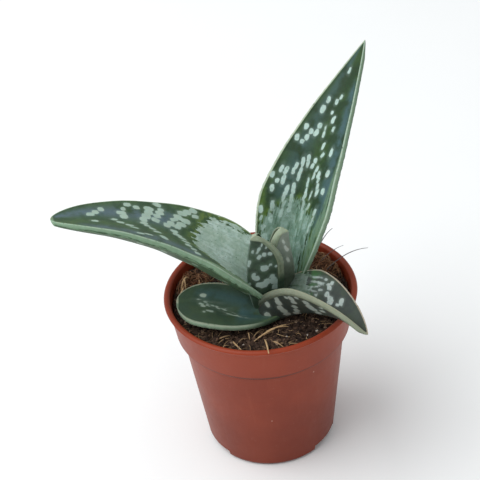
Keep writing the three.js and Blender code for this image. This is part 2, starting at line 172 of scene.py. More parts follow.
# The rows of spots on each leaf's upper face: from one place to another, how many there are, and their
# length and width in millimetres. A place is the share of the leaf's length and the share of a wing,
# positive on the first wing.
UPPER_ROWS = {
    "leaf_tall": [
        ((0.868, 0.18), (0.868, 0.18), 1, 1.6, 0.9), ((0.77, -0.1), (0.74, -0.02), 2, 1.7, 0.9),
        ((0.74, 0.43), (0.695, 0.49), 2, 2.4, 1.5), ((0.7, 0.03), (0.7, 0.03), 1, 1.1, 0.9),
        ((0.672, -0.17), (0.642, -0.34), 2, 2.1, 1.1), ((0.615, 0.69), (0.568, 0.78), 2, 2.2, 1.5),
        ((0.635, 0.24), (0.603, 0.24), 2, 2.1, 1.5), ((0.605, 0.44), (0.578, 0.45), 2, 1.9, 1.5),
        ((0.55, 0.52), (0.55, 0.52), 1, 1.6, 1.3), ((0.635, 0.0), (0.605, -0.03), 2, 1.9, 1.0),
        ((0.573, -0.19), (0.535, -0.29), 2, 2.3, 1.0), ((0.555, -0.56), (0.555, -0.56), 1, 3.0, 1.3),
        ((0.48, -0.65), (0.408, -0.65), 2, 2.3, 1.3), ((0.51, 0.13), (0.478, 0.12), 2, 2.4, 1.2),
        ((0.49, 0.26), (0.447, 0.24), 2, 2.8, 1.3), ((0.417, 0.23), (0.417, 0.23), 1, 1.9, 1.2),
        ((0.463, 0.4), (0.438, 0.41), 2, 2.4, 1.3), ((0.5, -0.08), (0.48, -0.08), 2, 1.8, 1.3),
        ((0.48, -0.24), (0.453, -0.22), 2, 2.3, 1.1), ((0.463, -0.36), (0.4, -0.46), 4, 2.2, 1.3),
        ((0.438, 0.75), (0.438, 0.75), 1, 3.1, 1.5), ((0.435, 0.59), (0.393, 0.55), 2, 2.5, 1.4),
        ((0.398, 0.88), (0.357, 0.75), 2, 1.9, 1.3), ((0.388, 0.71), (0.388, 0.71), 1, 1.7, 1.2),
        ((0.415, -0.1), (0.392, -0.11), 2, 2.5, 1.0), ((0.367, 0.39), (0.278, 0.36), 4, 3.3, 1.3),
        ((0.375, 0.23), (0.302, 0.2), 3, 3.3, 1.3), ((0.36, -0.1), (0.292, -0.15), 3, 3.3, 1.1),
        ((0.372, -0.3), (0.333, -0.29), 2, 2.9, 0.9), ((0.292, 0.6), (0.247, 0.6), 2, 3.1, 1.6),
        ((0.323, -0.56), (0.255, -0.55), 3, 3.3, 1.0), ((0.275, 0.89), (0.245, 0.86), 2, 1.8, 1.3),
        ((0.208, 0.79), (0.17, 0.76), 2, 2.5, 1.7),
    ],
    "leaf_long": [
        ((0.84, -0.24), (0.79, -0.56), 3, 1.9, 1.8), ((0.823, 0.2), (0.823, 0.2), 1, 2.0, 1.3),
        ((0.67, -0.8), (0.637, -0.68), 2, 2.1, 1.5), ((0.69, -0.57), (0.69, -0.57), 1, 1.4, 1.5),
        ((0.705, -0.42), (0.69, -0.24), 2, 2.5, 2.0), ((0.733, -0.04), (0.67, 0.34), 4, 2.3, 1.2),
        ((0.655, 0.68), (0.612, 0.6), 2, 2.2, 1.0), ((0.545, -0.87), (0.535, -0.7), 2, 2.5, 1.6),
        ((0.585, -0.68), (0.61, -0.22), 4, 2.4, 2.0), ((0.55, -0.6), (0.565, -0.3), 3, 2.2, 1.9),
        ((0.61, -0.06), (0.568, 0.25), 4, 2.3, 1.2), ((0.552, 0.46), (0.545, 0.52), 2, 2.1, 1.7),
        ((0.41, -0.88), (0.405, -0.74), 2, 2.2, 1.7), ((0.435, -0.82), (0.51, -0.2), 6, 2.5, 1.8),
        ((0.43, -0.5), (0.465, -0.26), 3, 2.4, 1.7), ((0.485, -0.1), (0.435, 0.2), 4, 2.6, 1.3),
        ((0.425, 0.36), (0.39, 0.64), 3, 2.2, 1.7),
    ],
    "leaf_low_left": [
        ((0.772, -0.44), (0.772, -0.44), 1, 1.6, 1.5), ((0.755, -0.04), (0.735, 0.03), 2, 1.4, 0.7),
        ((0.645, 0.2), (0.63, 0.22), 2, 1.5, 0.8), ((0.7, 0.33), (0.7, 0.33), 1, 0.8, 0.7),
        ((0.7, -0.16), (0.33, 0.24), 6, 2.6, 0.42), ((0.6, -0.08), (0.42, 0.02), 3, 1.6, 0.3),
        ((0.76, -0.2), (0.68, -0.02), 3, 1.1, 0.3),
    ],
    "leaf_low_right": [
        ((0.482, 0.8), (0.49, 0.72), 2, 1.2, 0.8), ((0.532, 0.78), (0.532, 0.78), 1, 1.1, 1.0),
        ((0.527, 0.62), (0.54, 0.44), 2, 1.5, 1.6), ((0.56, 0.34), (0.585, 0.26), 2, 1.7, 1.6),
        ((0.665, 0.5), (0.665, 0.5), 1, 1.7, 1.5), ((0.655, 0.3), (0.665, 0.38), 2, 1.3, 1.0),
        ((0.4, 0.76), (0.4, 0.4), 4, 3.6, 0.6), ((0.44, 0.62), (0.445, 0.3), 3, 1.4, 0.9),
    ],
}

# The spots on the lower faces that the photograph shows. The others get rows by chance.
LOWER_ROWS = {
    "leaf_low_right": [
        ((0.09, -0.9), (0.05, -0.55), 2, 2.0, 1.6), ((0.235, -0.93), (0.195, -0.25), 5, 2.0, 1.9),
        ((0.338, -0.9), (0.338, -0.9), 1, 1.2, 1.1), ((0.385, -0.84), (0.3, -0.15), 5, 1.9, 1.6),
        ((0.438, -0.9), (0.438, -0.9), 1, 1.3, 1.2), ((0.49, -0.76), (0.53, -0.26), 4, 2.4, 1.8),
        ((0.62, -0.8), (0.6, -0.5), 2, 1.8, 1.1),
    ],
    "leaf_young_left": [
        ((0.815, 0.19), (0.815, 0.19), 1, 1.2, 1.0), ((0.67, 0.11), (0.67, 0.11), 1, 2.7, 1.0),
        ((0.83, 0.44), (0.74, 0.4), 2, 1.9, 0.9), ((0.905, 0.74), (0.883, 0.88), 2, 1.2, 0.5),
        ((0.78, 0.66), (0.8, 0.86), 2, 1.4, 1.1), ((0.59, 0.58), (0.58, 0.62), 2, 1.8, 1.7),
        ((0.5, 0.24), (0.46, 0.36), 3, 1.7, 1.5), ((0.36, 0.1), (0.36, 0.1), 1, 1.2, 0.9),
        ((0.64, 0.8), (0.6, 0.93), 2, 1.2, 0.7), ((0.45, 0.83), (0.37, 0.84), 3, 1.6, 1.2),
        ((0.35, 0.44), (0.38, 0.7), 4, 2.0, 1.7), ((0.35, 0.93), (0.27, 0.9), 2, 2.2, 1.4),
    ],
    "leaf_young_right": [
        ((0.8, 0.78), (0.76, 0.86), 2, 2.4, 0.8), ((0.69, 0.52), (0.62, 0.58), 2, 3.4, 1.2),
        ((0.82, 0.24), (0.82, 0.24), 1, 3.0, 0.9), ((0.56, 0.2), (0.46, 0.3), 2, 3.0, 0.9),
        ((0.42, 0.62), (0.34, 0.7), 2, 2.8, 0.8), ((0.38, 0.4), (0.3, 0.45), 2, 2.6, 0.8),
        ((0.24, 0.3), (0.2, 0.8), 4, 2.6, 0.8), ((0.865, -0.6), (0.85, -0.56), 2, 1.7, 0.6),
        ((0.6, -0.6), (0.45, -0.7), 3, 1.8, 1.0), ((0.7, -0.3), (0.56, -0.32), 2, 2.6, 1.0),
    ],
}

# The pale lower part of each upper face: how far up it goes at the middle, how much less on the first
# and on the second wing, and the share of each wing that it covers.
PALE_BASE = {
    "leaf_tall": dict(until=0.33, fall=(0.16, 0.12), inside=(0.86, 0.66)),
    "leaf_long": dict(until=0.385, fall=(0.3, 0.07), inside=(0.74, 0.88)),
    "leaf_low_right": dict(until=0.36, fall=(0.04, 0.1), inside=(0.9, 0.9)),
    "leaf_low_left": dict(until=0.12, fall=(0.1, 0.1), inside=(0.6, 0.6)),
    "leaf_young_left": dict(until=0.25, fall=(0.1, 0.1), inside=(0.8, 0.8)),
    "leaf_young_right": dict(until=0.25, fall=(0.1, 0.1), inside=(0.8, 0.8)),
}

# Where each leaf's margin turns horny, as a share of the length, and over what share it does so, how
# many millimetres of the tip are horny, and how light the back grows towards the tip, where it does.
HORN = {
    "leaf_tall": dict(start=-0.25, over=0.5, cap=0.7),
    "leaf_long": dict(start=-0.1, over=0.06, cap=0.5),
    "leaf_low_left": dict(start=0.14, over=0.14, cap=0.3),
    "leaf_low_right": dict(start=-0.25, over=0.9, cap=0.5),
    "leaf_young_left": dict(start=0.38, over=0.1, cap=0.7),
    "leaf_young_right": dict(start=0.1, over=0.06, cap=0.9, back=0.95),
}

# Where the wax's blue bloom shows, with a painted bluish sheen over it: a wing share and its spread, a
# stretch of the length, and a strength.
BLOOM_AND_SHEEN = {
    "leaf_tall": [(0.45, 0.3, 0.34, 0.98, 0.6), (-0.75, 0.2, 0.3, 0.8, 1.0)],
    "leaf_long": [(-0.42, 0.3, 0.5, 0.98, 1.0), (0.75, 0.2, 0.4, 0.85, 0.8)],
    "leaf_low_left": [(-0.5, 0.25, 0.3, 0.8, 0.8), (0.0, 0.6, 0.0, 0.34, 0.9)],
    "leaf_low_right": [(0.5, 0.4, 0.45, 0.85, 0.35)],
}

# The light green side of a wing near the base: which wing, its inner edge as a share of the wing at
# the base and how fast that moves outwards, and how far up the leaf it goes.
LIGHT_SIDE = {
    "leaf_long": dict(wing=1, inner=(0.55, 0.8), until=0.46),
    "leaf_tall": dict(wing=-1, inner=(0.5, 0.77), until=0.56),
}

# Pale grains that the photograph shows, on the ground plan, and how many more lie there by chance.
PALE_GRAINS = [(14.4, -17.0), (11.6, -18.6), (-6.2, -19.6), (17.6, -9.0)]
MORE_GRAINS = 10
GRAIN_SIZES = (0.2, 0.45)

# Straws and hairs that the photograph shows, from one point to another on the ground plan, with the
# rise of the middle and the end above the soil, the thickness and how pale they are.
STRAWS = [
    ((6.8, -13.2), (-2.0, -19.0), 1.1, 1.0, 0.6, 1.1),
    ((7.0, -14.2), (0.4, -16.8), 1.2, 1.2, 0.4, 1.0),
    ((4.6, -14.6), (-3.2, -19.6), 0.7, 0.4, 0.45, 0.8),
    ((-0.3, -18.6), (0.4, -29.0), 3.1, 4.4, 0.5, 0.9),
    ((-9.6, -16.8), (-6.9, -22.4), 0.6, 0.5, 0.5, 0.9),
    ((-14.0, -17.4), (-9.6, -16.1), 0.6, 0.5, 0.4, 0.75),
    ((-9.0, -16.4), (-12.8, -18.6), 0.5, 0.4, 0.35, 0.6),
    ((-4.6, -15.2), (-4.3, -18.6), 1.6, 0.4, 0.35, 0.8),
    ((-0.6, -14.6), (-3.4, -18.2), 1.0, 0.3, 0.3, 0.7),
    ((0.3, -20.7), (9.2, -22.0), 0.5, 0.3, 0.6, 0.4),
    ((1.4, -20.0), (4.6, -23.0), 0.7, 0.4, 0.35, 0.85),
    ((-19.8, 10.5), (-22.4, 5.5), 1.6, 0.8, 0.65, 0.9),
    ((-20.8, 8.0), (-23.0, 2.5), 1.0, 0.5, 0.55, 0.8),
    ((-21.4, 9.6), (-21.0, 4.0), 1.8, 0.6, 0.4, 0.85),
    ((-22.2, 6.6), (-23.2, 0.4), 0.9, 0.6, 0.35, 0.7),
    ((19.0, 7.6), (32.0, 10.2), 5.0, 6.0, 0.3, -0.6),
    ((17.5, 11.6), (25.2, 12.2), 3.6, 6.0, 0.22, -0.3),
    ((16.5, 15.0), (22.7, 18.1), 5.0, 8.6, 0.3, -0.5),
]


def bead(line, width, body, low, end):
    """The horny margin of one wing: the thin line at its upper corner and that line's half width in
    millimetres, then its upper half, its lower half and the line at its lower corner."""
    return dict(line=line, width=width, body=body, low=low, end=end)


# What the two young leaves share, and the margin of both wings of the paler one.
YOUNG_BASE = dict(
    pale=(110, 132, 118), paler=(128, 150, 140), deep=(84, 104, 84), ragged=2.0, streaks=0.5, veins=0.3)
YOUNG_BEAD = bead((162, 176, 154), 0.35, (148, 162, 138), (130, 144, 120), (96, 108, 86))

# The colours of each leaf's skin, as display values of 0 to 255. ragged is how far, in millimetres,
# streaks carry the pale base beyond its edge, streaks is how strongly they show inside it, and veins
# how strongly dark streaks show in the lower half of the margin.
SKINS = {
    "leaf_tall": dict(
        dark=(36, 60, 36), olive=(48, 74, 38), lime=(80, 108, 46), blue=(64, 92, 96),
        light=(98, 126, 102), spot=(180, 206, 198), pale=(108, 138, 124), paler=(142, 170, 160),
        deep=(76, 106, 84), under=(66, 90, 66), under_spot=(132, 152, 136),
        ragged=7.0, streaks=0.85, veins=0.4,
        first=bead((176, 190, 168), 0.3, (150, 168, 144), (118, 138, 114), (150, 140, 128)),
        second=bead((164, 186, 168), 0.2, (118, 142, 118), (92, 118, 94), (128, 122, 108))),
    "leaf_long": dict(
        dark=(56, 80, 56), olive=(68, 94, 60), lime=(94, 116, 62), blue=(86, 106, 114),
        light=(124, 152, 122), spot=(166, 190, 176), pale=(168, 192, 182), paler=(186, 208, 200),
        deep=(112, 140, 116), under=(66, 86, 60), under_spot=(126, 146, 126),
        ragged=4.6, streaks=0.3, veins=0.9,
        first=bead((158, 182, 160), 0.2, (122, 150, 124), (92, 120, 90), (166, 152, 138)),
        second=bead((150, 166, 140), 0.22, (120, 140, 112), (96, 116, 88), (150, 140, 124))),
    "leaf_low_left": dict(
        dark=(58, 78, 62), olive=(64, 84, 62), lime=(78, 98, 66), blue=(66, 96, 98),
        light=(96, 122, 100), spot=(166, 184, 170), pale=(92, 116, 106), paler=(112, 136, 126),
        deep=(66, 88, 72), under=(58, 78, 60), under_spot=(116, 134, 118),
        ragged=2.0, streaks=0.4, veins=0.4,
        first=bead((142, 154, 134), 0.3, (116, 137, 115), (150, 175, 150), (120, 130, 110)),
        second=bead((168, 176, 152), 0.3, (160, 168, 146), (134, 146, 122), (140, 132, 116))),
    "leaf_low_right": dict(
        dark=(50, 58, 54), olive=(58, 70, 54), lime=(58, 96, 58), blue=(60, 70, 72),
        light=(84, 104, 84), spot=(168, 182, 178), pale=(104, 120, 110), paler=(120, 136, 128),
        deep=(58, 84, 62), under=(56, 62, 54), under_spot=(156, 166, 156),
        ragged=4.0, streaks=0.9, veins=0.3,
        first=bead((176, 166, 148), 0.3, (164, 156, 138), (130, 128, 110), (140, 128, 112)),
        second=bead((152, 156, 134), 0.3, (136, 143, 122), (118, 126, 104), (92, 96, 78))),
    "leaf_young_left": dict(
        dark=(58, 78, 60), olive=(70, 86, 60), lime=(84, 106, 66), blue=(76, 94, 88),
        light=(96, 120, 98), spot=(150, 166, 156), under=(44, 58, 46), under_spot=(150, 170, 162),
        **YOUNG_BASE,
        first=bead((152, 166, 144), 0.3, (128, 140, 118), (108, 120, 98), (78, 86, 66)),
        second=bead((168, 184, 162), 0.35, (156, 170, 148), (140, 154, 130), (96, 104, 84))),
    "leaf_young_right": dict(
        # Its dark and olive are lighter than on the other leaves: painted light over the shaded inside of
        # its fold.
        dark=(96, 110, 92), olive=(104, 118, 94), lime=(110, 124, 94), blue=(96, 112, 102),
        light=(128, 140, 128), spot=(160, 170, 160), under=(76, 88, 74), under_spot=(190, 200, 190),
        **YOUNG_BASE,
        first=YOUNG_BEAD, second=YOUNG_BEAD),
}

# The seeds of the random draws.
PLACES_SEED = 3
CRUMBS_SEED = 4
GRAINS_SEED = 5
FIBRES_SEED = 11
FIRST_LEAF_SEED = 20

# The light: a wide soft source high on the left, and a white studio around it.
KEY_PLACE = (-0.5, -0.06, 0.8)
KEY_AIM = (0.0, 0.0, 0.03)
KEY_SIZE = (1.1, 0.9)
KEY_POWER = 7.8
SURROUND = 0.57
FLOOR_SIZE = 3.0

# Where the patterns of the materials start, in millimetres.
PATTERN_START = (0.0, 0.0, -1.2)

# Camera: the photograph's viewpoint, fitted to the pot's rim and base. Millimetres and degrees.
CAMERA_RISE = 37.15
CAMERA_ROLL = -5.5
CAMERA_DISTANCE = 439.6
CAMERA_SHIFT = (7.63, -34.02)
CAMERA_AIM_HEIGHT = 26.2
CAMERA_FOCAL_PIXELS = 1500
PICTURE_SIZE = 480
SENSOR = 36.0


def srgb(red, green, blue):
    """A display colour of 0 to 255 as the linear colour that shaders take."""
    def linear(value):
        share = value / 255
        return share / 12.92 if share <= 0.04045 else ((share + 0.055) / 1.055) ** 2.4
    return (linear(red), linear(green), linear(blue), 1.0)


# Meshes

def mesh_object(name, vertices, faces, material, attributes=None, smooth=True):
    """An object from points in millimetres, with per-point float or vector attributes."""
    mesh = bpy.data.meshes.new(name)
    mesh.from_pydata((np.asarray(vertices, float) * MM).tolist(), [], faces)
    for key, values in (attributes or {}).items():
        values = np.asarray(values, np.float32)
        kind, field = ("FLOAT", "value") if values.ndim == 1 else ("FLOAT_VECTOR", "vector")
        mesh.attributes.new(key, kind, "POINT").data.foreach_set(field, values.ravel())
    mesh.validate()
    mesh.update()
    if smooth:
        mesh.shade_smooth()
    obj = bpy.data.objects.new(name, mesh)
    bpy.context.scene.collection.objects.link(obj)
    mesh.materials.append(material)
    return obj


def finish_piece(obj, slot, *nodes):
    """The lines that every piece needs: its body and the solids that it stands in for, which it hides. The
    slot is not used.
    """
    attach(obj, "root")
    if nodes:
        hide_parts(*nodes)


def ring_faces(rings, sides):
    """Quads between rings of equal size whose points follow one another, with a fan of triangles to
    one more point at each end."""
    faces = []
    for ring in range(rings - 1):
        a, b = ring * sides, (ring + 1) * sides
        for k in range(sides):
            n = (k + 1) % sides
            faces.append((a + k, a + n, b + n, b + k))
    first, last = rings * sides, rings * sides + 1
    top = (rings - 1) * sides
    for k in range(sides):
        n = (k + 1) % sides
        faces.append((first, n, k))
        faces.append((last, top + k, top + n))
    return faces


# Materials

class Shader:
    """A small helper that lays out one material's nodes. Its patterns lie over the object's place in
    millimetres. A colour is a socket, or display values of 0 to 255."""

    def __init__(self, name):
        self.material = bpy.data.materials.new(name)
        self.material.use_nodes = True
        self.nodes = self.material.node_tree.nodes
        self.links = self.material.node_tree.links
        coordinates = self.add("TexCoord", {}, "Object")
        scale = (1 / MM, 1 / MM, 1 / MM)
        self.place = self.add(
            "VectorMath", {0: coordinates, 1: scale, 2: PATTERN_START}, operation="MULTIPLY_ADD")

    def fill(self, node, inputs):
        """Links or sets a node's inputs, apart from those that are None."""
        for key, value in inputs.items():
            if isinstance(value, bpy.types.NodeSocket):
                self.links.new(value, node.inputs[key])
            elif value is not None:
                node.inputs[key].default_value = value

    def add(self, kind, inputs, output=0, **settings):
        """One output of a new node."""
        node = self.nodes.new("ShaderNode" + kind)
        for key, value in settings.items():
            setattr(node, key, value)
        self.fill(node, inputs)
        return node.outputs[output]

    def surface(self, colour, roughness, specular, relief=None, **others):
        """The finished material."""
        self.fill(self.nodes["Principled BSDF"], {
            "Base Color": colour, "Roughness": roughness, "Specular IOR Level": specular,
            "Normal": relief, **{key.replace("_", " "): value for key, value in others.items()}})
        return self.material

    def attribute(self, name, output="Fac"):
        return self.add("Attribute", {}, output, attribute_name=name)

    def part_of(self, vector, axis):
        """One coordinate of a vector."""
        return self.add("SeparateXYZ", {0: vector}, axis)

    def scaled(self, vector, scale):
        return self.add("VectorMath", {0: vector, 1: scale}, operation="MULTIPLY")

    def noise(self, scale, detail, roughness, vector=None):
        return self.add("TexNoise", {
            "Vector": self.place if vector is None else vector,
            "Scale": scale, "Detail": detail, "Roughness": roughness,
        }, "Fac")

    def cells(self, scale):
        """The distance to the nearest of scattered points, in cell widths."""
        return self.add("TexVoronoi", {"Vector": self.place, "Scale": scale}, "Distance")

    def math(self, operation, a, b=0.0):
        return self.add("Math", {0: a, 1: b}, operation=operation)

    def times(self, first, *others):
        for other in others:
            first = self.math("MULTIPLY", first, other)
        return first

    def plus(self, a, b):
        return self.math("ADD", a, b)

    def spread(self, share, reach):
        """A value of 0 to 1 as one between minus reach and plus reach."""
        return self.math("MULTIPLY", self.math("SUBTRACT", share, 0.5), 2 * reach)

    def above(self, value, low, high):
        """0 below low and 1 above high, with a soft step between them."""
        inputs = {"Value": value, "From Min": low, "From Max": high}
        return self.add("MapRange", inputs, "Result", interpolation_type="SMOOTHSTEP")

    def below(self, value, low, high):
        return self.math("SUBTRACT", 1.0, self.above(value, low, high))

    def ranged(self, share, low, high):
        """A value of 0 to 1 spread from low to high."""
        return self.add("MapRange", {"Value": share, "To Min": low, "To Max": high}, "Result")

    def mix(self, share, a, b):
        a, b = (srgb(*colour) if isinstance(colour, tuple) else colour for colour in (a, b))
        return self.add("Mix", {0: share, 6: a, 7: b}, 2, data_type="RGBA")

    def over(self, colour, other, value, low, high, *factors):
        """A colour with another over it where a value is above a soft step, times any factors."""
        return self.mix(self.times(self.above(value, low, high), *factors), colour, other)

    def shaded(self, colour, value):
        """A colour made lighter or darker by a factor."""
        return self.add("HueSaturation", {"Color": colour, "Value": value}, "Color")

    def bump(self, height, distance, strength, normal=None):
        return self.add("Bump", {
            "Height": height, "Distance": distance * MM, "Strength": strength, "Normal": normal,
        }, "Normal")


def leaf_margin(s, skin, colour, grain, mottle):
    """A leaf's colour with its horny margin over it, and the thin line at the margin's upper corner."""
    first_wing = s.attribute("first")
    horn = s.attribute("horn")
    rim = s.attribute("rim")
    round_bead = s.add("CombineXYZ", {
        "X": s.times(s.part_of(grain, "X"), 0.3), "Y": s.times(rim, 5.0), "Z": s.times(first_wing, 9.0)})
    streak = s.noise(1.0, 3.0, 0.6, round_bead)
    across_bead = s.plus(rim, s.spread(streak, 0.12))

    def by_wing(key):
        return s.mix(first_wing, skin["second"][key], skin["first"][key])

    margin = s.over(by_wing("body"), by_wing("low"), across_bead, 0.46, 0.66)
    margin = s.shaded(margin, s.ranged(streak, 0.75, 1.25))
    veins = s.above(streak, 0.46, 0.58)
    margin = s.over(margin, skin["dark"], across_bead, 0.36, 0.56, veins, skin["veins"])
    margin = s.over(margin, by_wing("end"), across_bead, 0.86, 0.94)
    colour = s.over(colour, margin, rim, 0.02, 0.1, s.below(rim, 0.95, 0.995), horn)
    colour = s.mix(s.attribute("tip"), colour, by_wing("body"))

    half_width = s.ranged(first_wing, skin["second"]["width"], skin["first"]["width"])
    off_line = s.math("DIVIDE", s.math("ABSOLUTE", s.attribute("corner")), half_width)
    line = s.times(s.below(off_line, 0.55, 1.25), s.above(mottle, 0.2, 0.5), horn, 0.9)
    return s.mix(line, colour, by_wing("line"))


def leaf_material(name, skin):
    """Waxy leaf skin: dark green with a blue bloom and a painted bluish sheen, pale spots, a pale base and
    a horny margin.
    """
    s = Shader(name)
    grain = s.attribute("grain", "Vector")
    lower_face = s.attribute("rim")
    light_side = s.attribute("light")
    pale_depth = s.attribute("pale")
    clouds = s.noise(0.22, 3.0, 0.55)
    patches = s.noise(0.45, 2.0, 0.5)
    mottle = s.noise(1.2, 4.0, 0.6)
    lobes = s.noise(0.9, 1.0, 0.4)
    skin_grain = s.noise(5.0, 3.0, 0.6)
    streak = s.noise(1.0, 3.0, 0.55, s.scaled(grain, (0.14, 1.1, 1.0)))
    fine_streak = s.noise(1.0, 3.0, 0.6, s.scaled(grain, (0.5, 4.0, 1.0)))

    green = s.over(skin["dark"], skin["olive"], clouds, 0.38, 0.62)
    green = s.over(green, skin["lime"], patches, 0.36, 0.62, s.attribute("lime"))
    bloom_and_sheen_strength = s.ranged(streak, 0.6, 1.3)
    # Blue over the green: partly the wax's own bloom, partly a painted sheen where the waxy skin would
    # reflect the bright studio.
    green = s.over(green, skin["blue"], clouds, 0.3, 0.56, s.attribute("bloom_and_sheen"), bloom_and_sheen_strength)
    green = s.over(green, skin["light"], streak, 0.36, 0.52, light_side)
    under = s.over(skin["under"], skin["dark"], clouds, 0.35, 0.65)
    under = s.mix(light_side, under, skin["light"])
    green = s.mix(lower_face, green, under)
    green = s.shaded(green, s.ranged(mottle, 0.78, 1.22))

    edge = s.plus(s.spread(streak, skin["ragged"]), s.spread(lobes, 1.4))
    pale_mask = s.above(s.plus(pale_depth, edge), -0.15, 0.3)
    pale = s.over(skin["pale"], skin["paler"], patches, 0.36, 0.6)
    pale = s.over(pale, skin["deep"], streak, 0.48, 0.66, skin["streaks"])
    pale = s.over(pale, skin["deep"], mottle, 0.46, 0.66, 0.35)
    pale = s.over(pale, skin["light"], clouds, 0.42, 0.6, 0.3)
    colour = s.mix(s.times(pale_mask, 0.94), green, pale)

    specks = s.below(s.cells(1.15), 0.09, 0.2)
    speck_zone = s.above(s.noise(0.3, 2.0, 0.5), 0.4, 0.5)
    colour = s.mix(s.times(specks, speck_zone, pale_mask, 0.75), colour, skin["dark"])

    spots = s.plus(s.attribute("spots"), s.spread(lobes, 0.24))
    halo = s.times(s.above(spots, -0.6, 0.1), 0.12)
    fading = s.ranged(s.above(pale_depth, -PALE_REACH, 0.5), 1.0, 0.6)
    spot_mask = s.times(s.above(spots, -0.1, 0.16), s.ranged(patches, 0.7, 1.1), fading)
    upper_spot = s.over(skin["spot"], skin["pale"], mottle, 0.5, 0.72, 0.5)
    spot_colour = s.mix(lower_face, upper_spot, skin["under_spot"])
    spot_colour = s.shaded(spot_colour, s.ranged(skin_grain, 0.9, 1.1))
    colour = s.mix(s.math("MAXIMUM", halo, spot_mask), colour, spot_colour)
    colour = s.over(colour, skin["under_spot"], fine_streak, 0.3, 0.6, s.attribute("keel"), 0.6)

    colour = leaf_margin(s, skin, colour, grain, mottle)
    relief = s.bump(fine_streak, 0.05, 0.4, s.bump(skin_grain, 0.03, 0.5))
    relief = s.bump(spot_mask, 0.05, 0.6, relief)
    return s.surface(
        colour, s.ranged(mottle, 0.42, 0.62), 0.2, relief, Subsurface_Weight=0.05,
        Subsurface_Scale=0.8 * MM)


def pot_material():
    """Terracotta-coloured satin plastic, with faint flow marks, dust and specks, and painted shade: darker
    towards the foot, and a dark line in the groove under the collar and along the foot's edge.
    """
    s = Shader("pot_plastic")
    height = s.plus(s.part_of(s.place, "Z"), -PATTERN_START[2])
    upright = s.noise(1.0, 3.0, 0.6, s.scaled(s.place, (0.5, 0.5, 0.06)))
    colour = s.over((142, 58, 34), (130, 51, 30), s.noise(0.06, 3.0, 0.55), 0.3, 0.7)
    colour = s.mix(s.ranged(s.noise(1.6, 5.0, 0.65), 0.0, 0.16), colour, (152, 70, 46))
    colour = s.over(colour, (158, 84, 60), upright, 0.55, 0.75, 0.15)
    dust = s.noise(0.6, 4.0, 0.7)
    colour = s.over(colour, (190, 150, 132), dust, 0.6, 0.8, 0.1)
    soiled = s.noise(0.35, 5.0, 0.7)
    colour = s.over(colour, (70, 44, 32), soiled, 0.52, 0.7, s.attribute("inside"), 0.75)
    specks = s.below(s.cells(0.12), 0.02, 0.035)
    colour = s.mix(s.times(specks, 0.6), colour, (214, 176, 160))
    # Painted shade: the plastic is drawn darker towards the foot and a little lighter towards the lip.
    colour = s.shaded(colour, s.ranged(s.above(height, 0.0, POT_HEIGHT), 0.76, 1.06))
    # Painted shade: a dark line in the groove under the collar, over the collar's rounded lower edge, and
    # along the foot's edge at the floor.
    from_groove = s.math("ABSOLUTE", s.plus(height, 0.6 * STEP_HEIGHT - COLLAR_BOTTOM))
    painted_shade = s.math("MAXIMUM", s.below(from_groove, 0.9, 1.2), s.below(height, 0.3, 1.1))
    colour = s.mix(s.times(painted_shade, 0.65), colour, (62, 28, 20))
    relief = s.bump(upright, 0.12, 0.25, s.bump(s.noise(2.2, 3.0, 0.5), 0.03, 0.4))
    return s.surface(colour, s.ranged(s.noise(0.5, 4.0, 0.6), 0.34, 0.5), 0.22, relief)


def soil_material():
    """Dark crumbly mix: near-black peat with brown flecks, and coir in its patches."""
    s = Shader("soil")
    flecks = s.noise(3.4, 4.0, 0.7)
    colour = s.over((46, 36, 31), (78, 60, 49), s.noise(0.8, 5.0, 0.7), 0.35, 0.65)
    colour = s.over(colour, (118, 84, 58), flecks, 0.58, 0.7, 0.6)
    colour = s.over(colour, (104, 66, 44), flecks, 0.35, 0.6, s.attribute("coir"), 0.75)
    return s.surface(colour, s.ranged(flecks, 0.8, 0.98), 0.2, s.bump(flecks, 0.3, 0.8))


def crumb_material():
    """Crumbs of peat, bark and coir, by the crumb."""
    s = Shader("crumb")
    piece = s.attribute("tone")
    grain = s.noise(2.8, 4.0, 0.7)
    colour = s.mix(piece, (42, 33, 29), (106, 83, 67))
    colour = s.over(colour, (150, 128, 108), piece, 0.93, 0.97)
    coir = s.times(s.attribute("coir"), s.ranged(piece, 0.3, 1.0))
    colour = s.mix(coir, colour, (112, 70, 46))
    colour = s.over(colour, (44, 33, 27), grain, 0.5, 0.72)
    relief = s.bump(s.noise(4.0, 4.0, 0.7), 0.2, 0.8)
    return s.surface(colour, s.ranged(grain, 0.8, 0.98), 0.2, relief)


def fibre_material():
    """Dry coir and straw, tan to brown by the fibre, orange in the coir, and a few grey hairs."""
    s = Shader("fibre")
    piece = s.attribute("tone")
    colour = s.mix(piece, (62, 44, 33), (196, 164, 122))
    colour = s.mix(s.times(s.attribute("coir"), 0.8), colour, (138, 88, 56))
    colour = s.mix(s.below(piece, -0.3, -0.05), colour, (116, 114, 116))
    colour = s.shaded(colour, s.ranged(s.noise(1.6, 3.0, 0.6), 0.6, 1.3))
    return s.surface(colour, s.ranged(s.noise(3.0, 2.0, 0.5), 0.6, 0.85), 0.3)


def grain_material():
    """Grains of perlite and pale grit."""
    s = Shader("pale_grain")
    colour = s.mix(s.noise(2.0, 4.0, 0.7), (232, 226, 216), (150, 136, 122))
    return s.surface(colour, 0.8, 0.5, s.bump(s.noise(5.0, 4.0, 0.7), 0.15, 0.8))


def stem_material():
    """The short stem: bluish green flesh with the brown scars of old leaves."""
    s = Shader("stem")
    colour = s.mix(s.noise(0.6, 4.0, 0.6), (50, 74, 60), (84, 104, 88))
    colour = s.over(colour, (74, 62, 48), s.noise(2.4, 4.0, 0.7), 0.6, 0.8)
    return s.surface(colour, 0.55, 0.3, s.bump(s.noise(2.0, 4.0, 0.6), 0.2, 0.6))


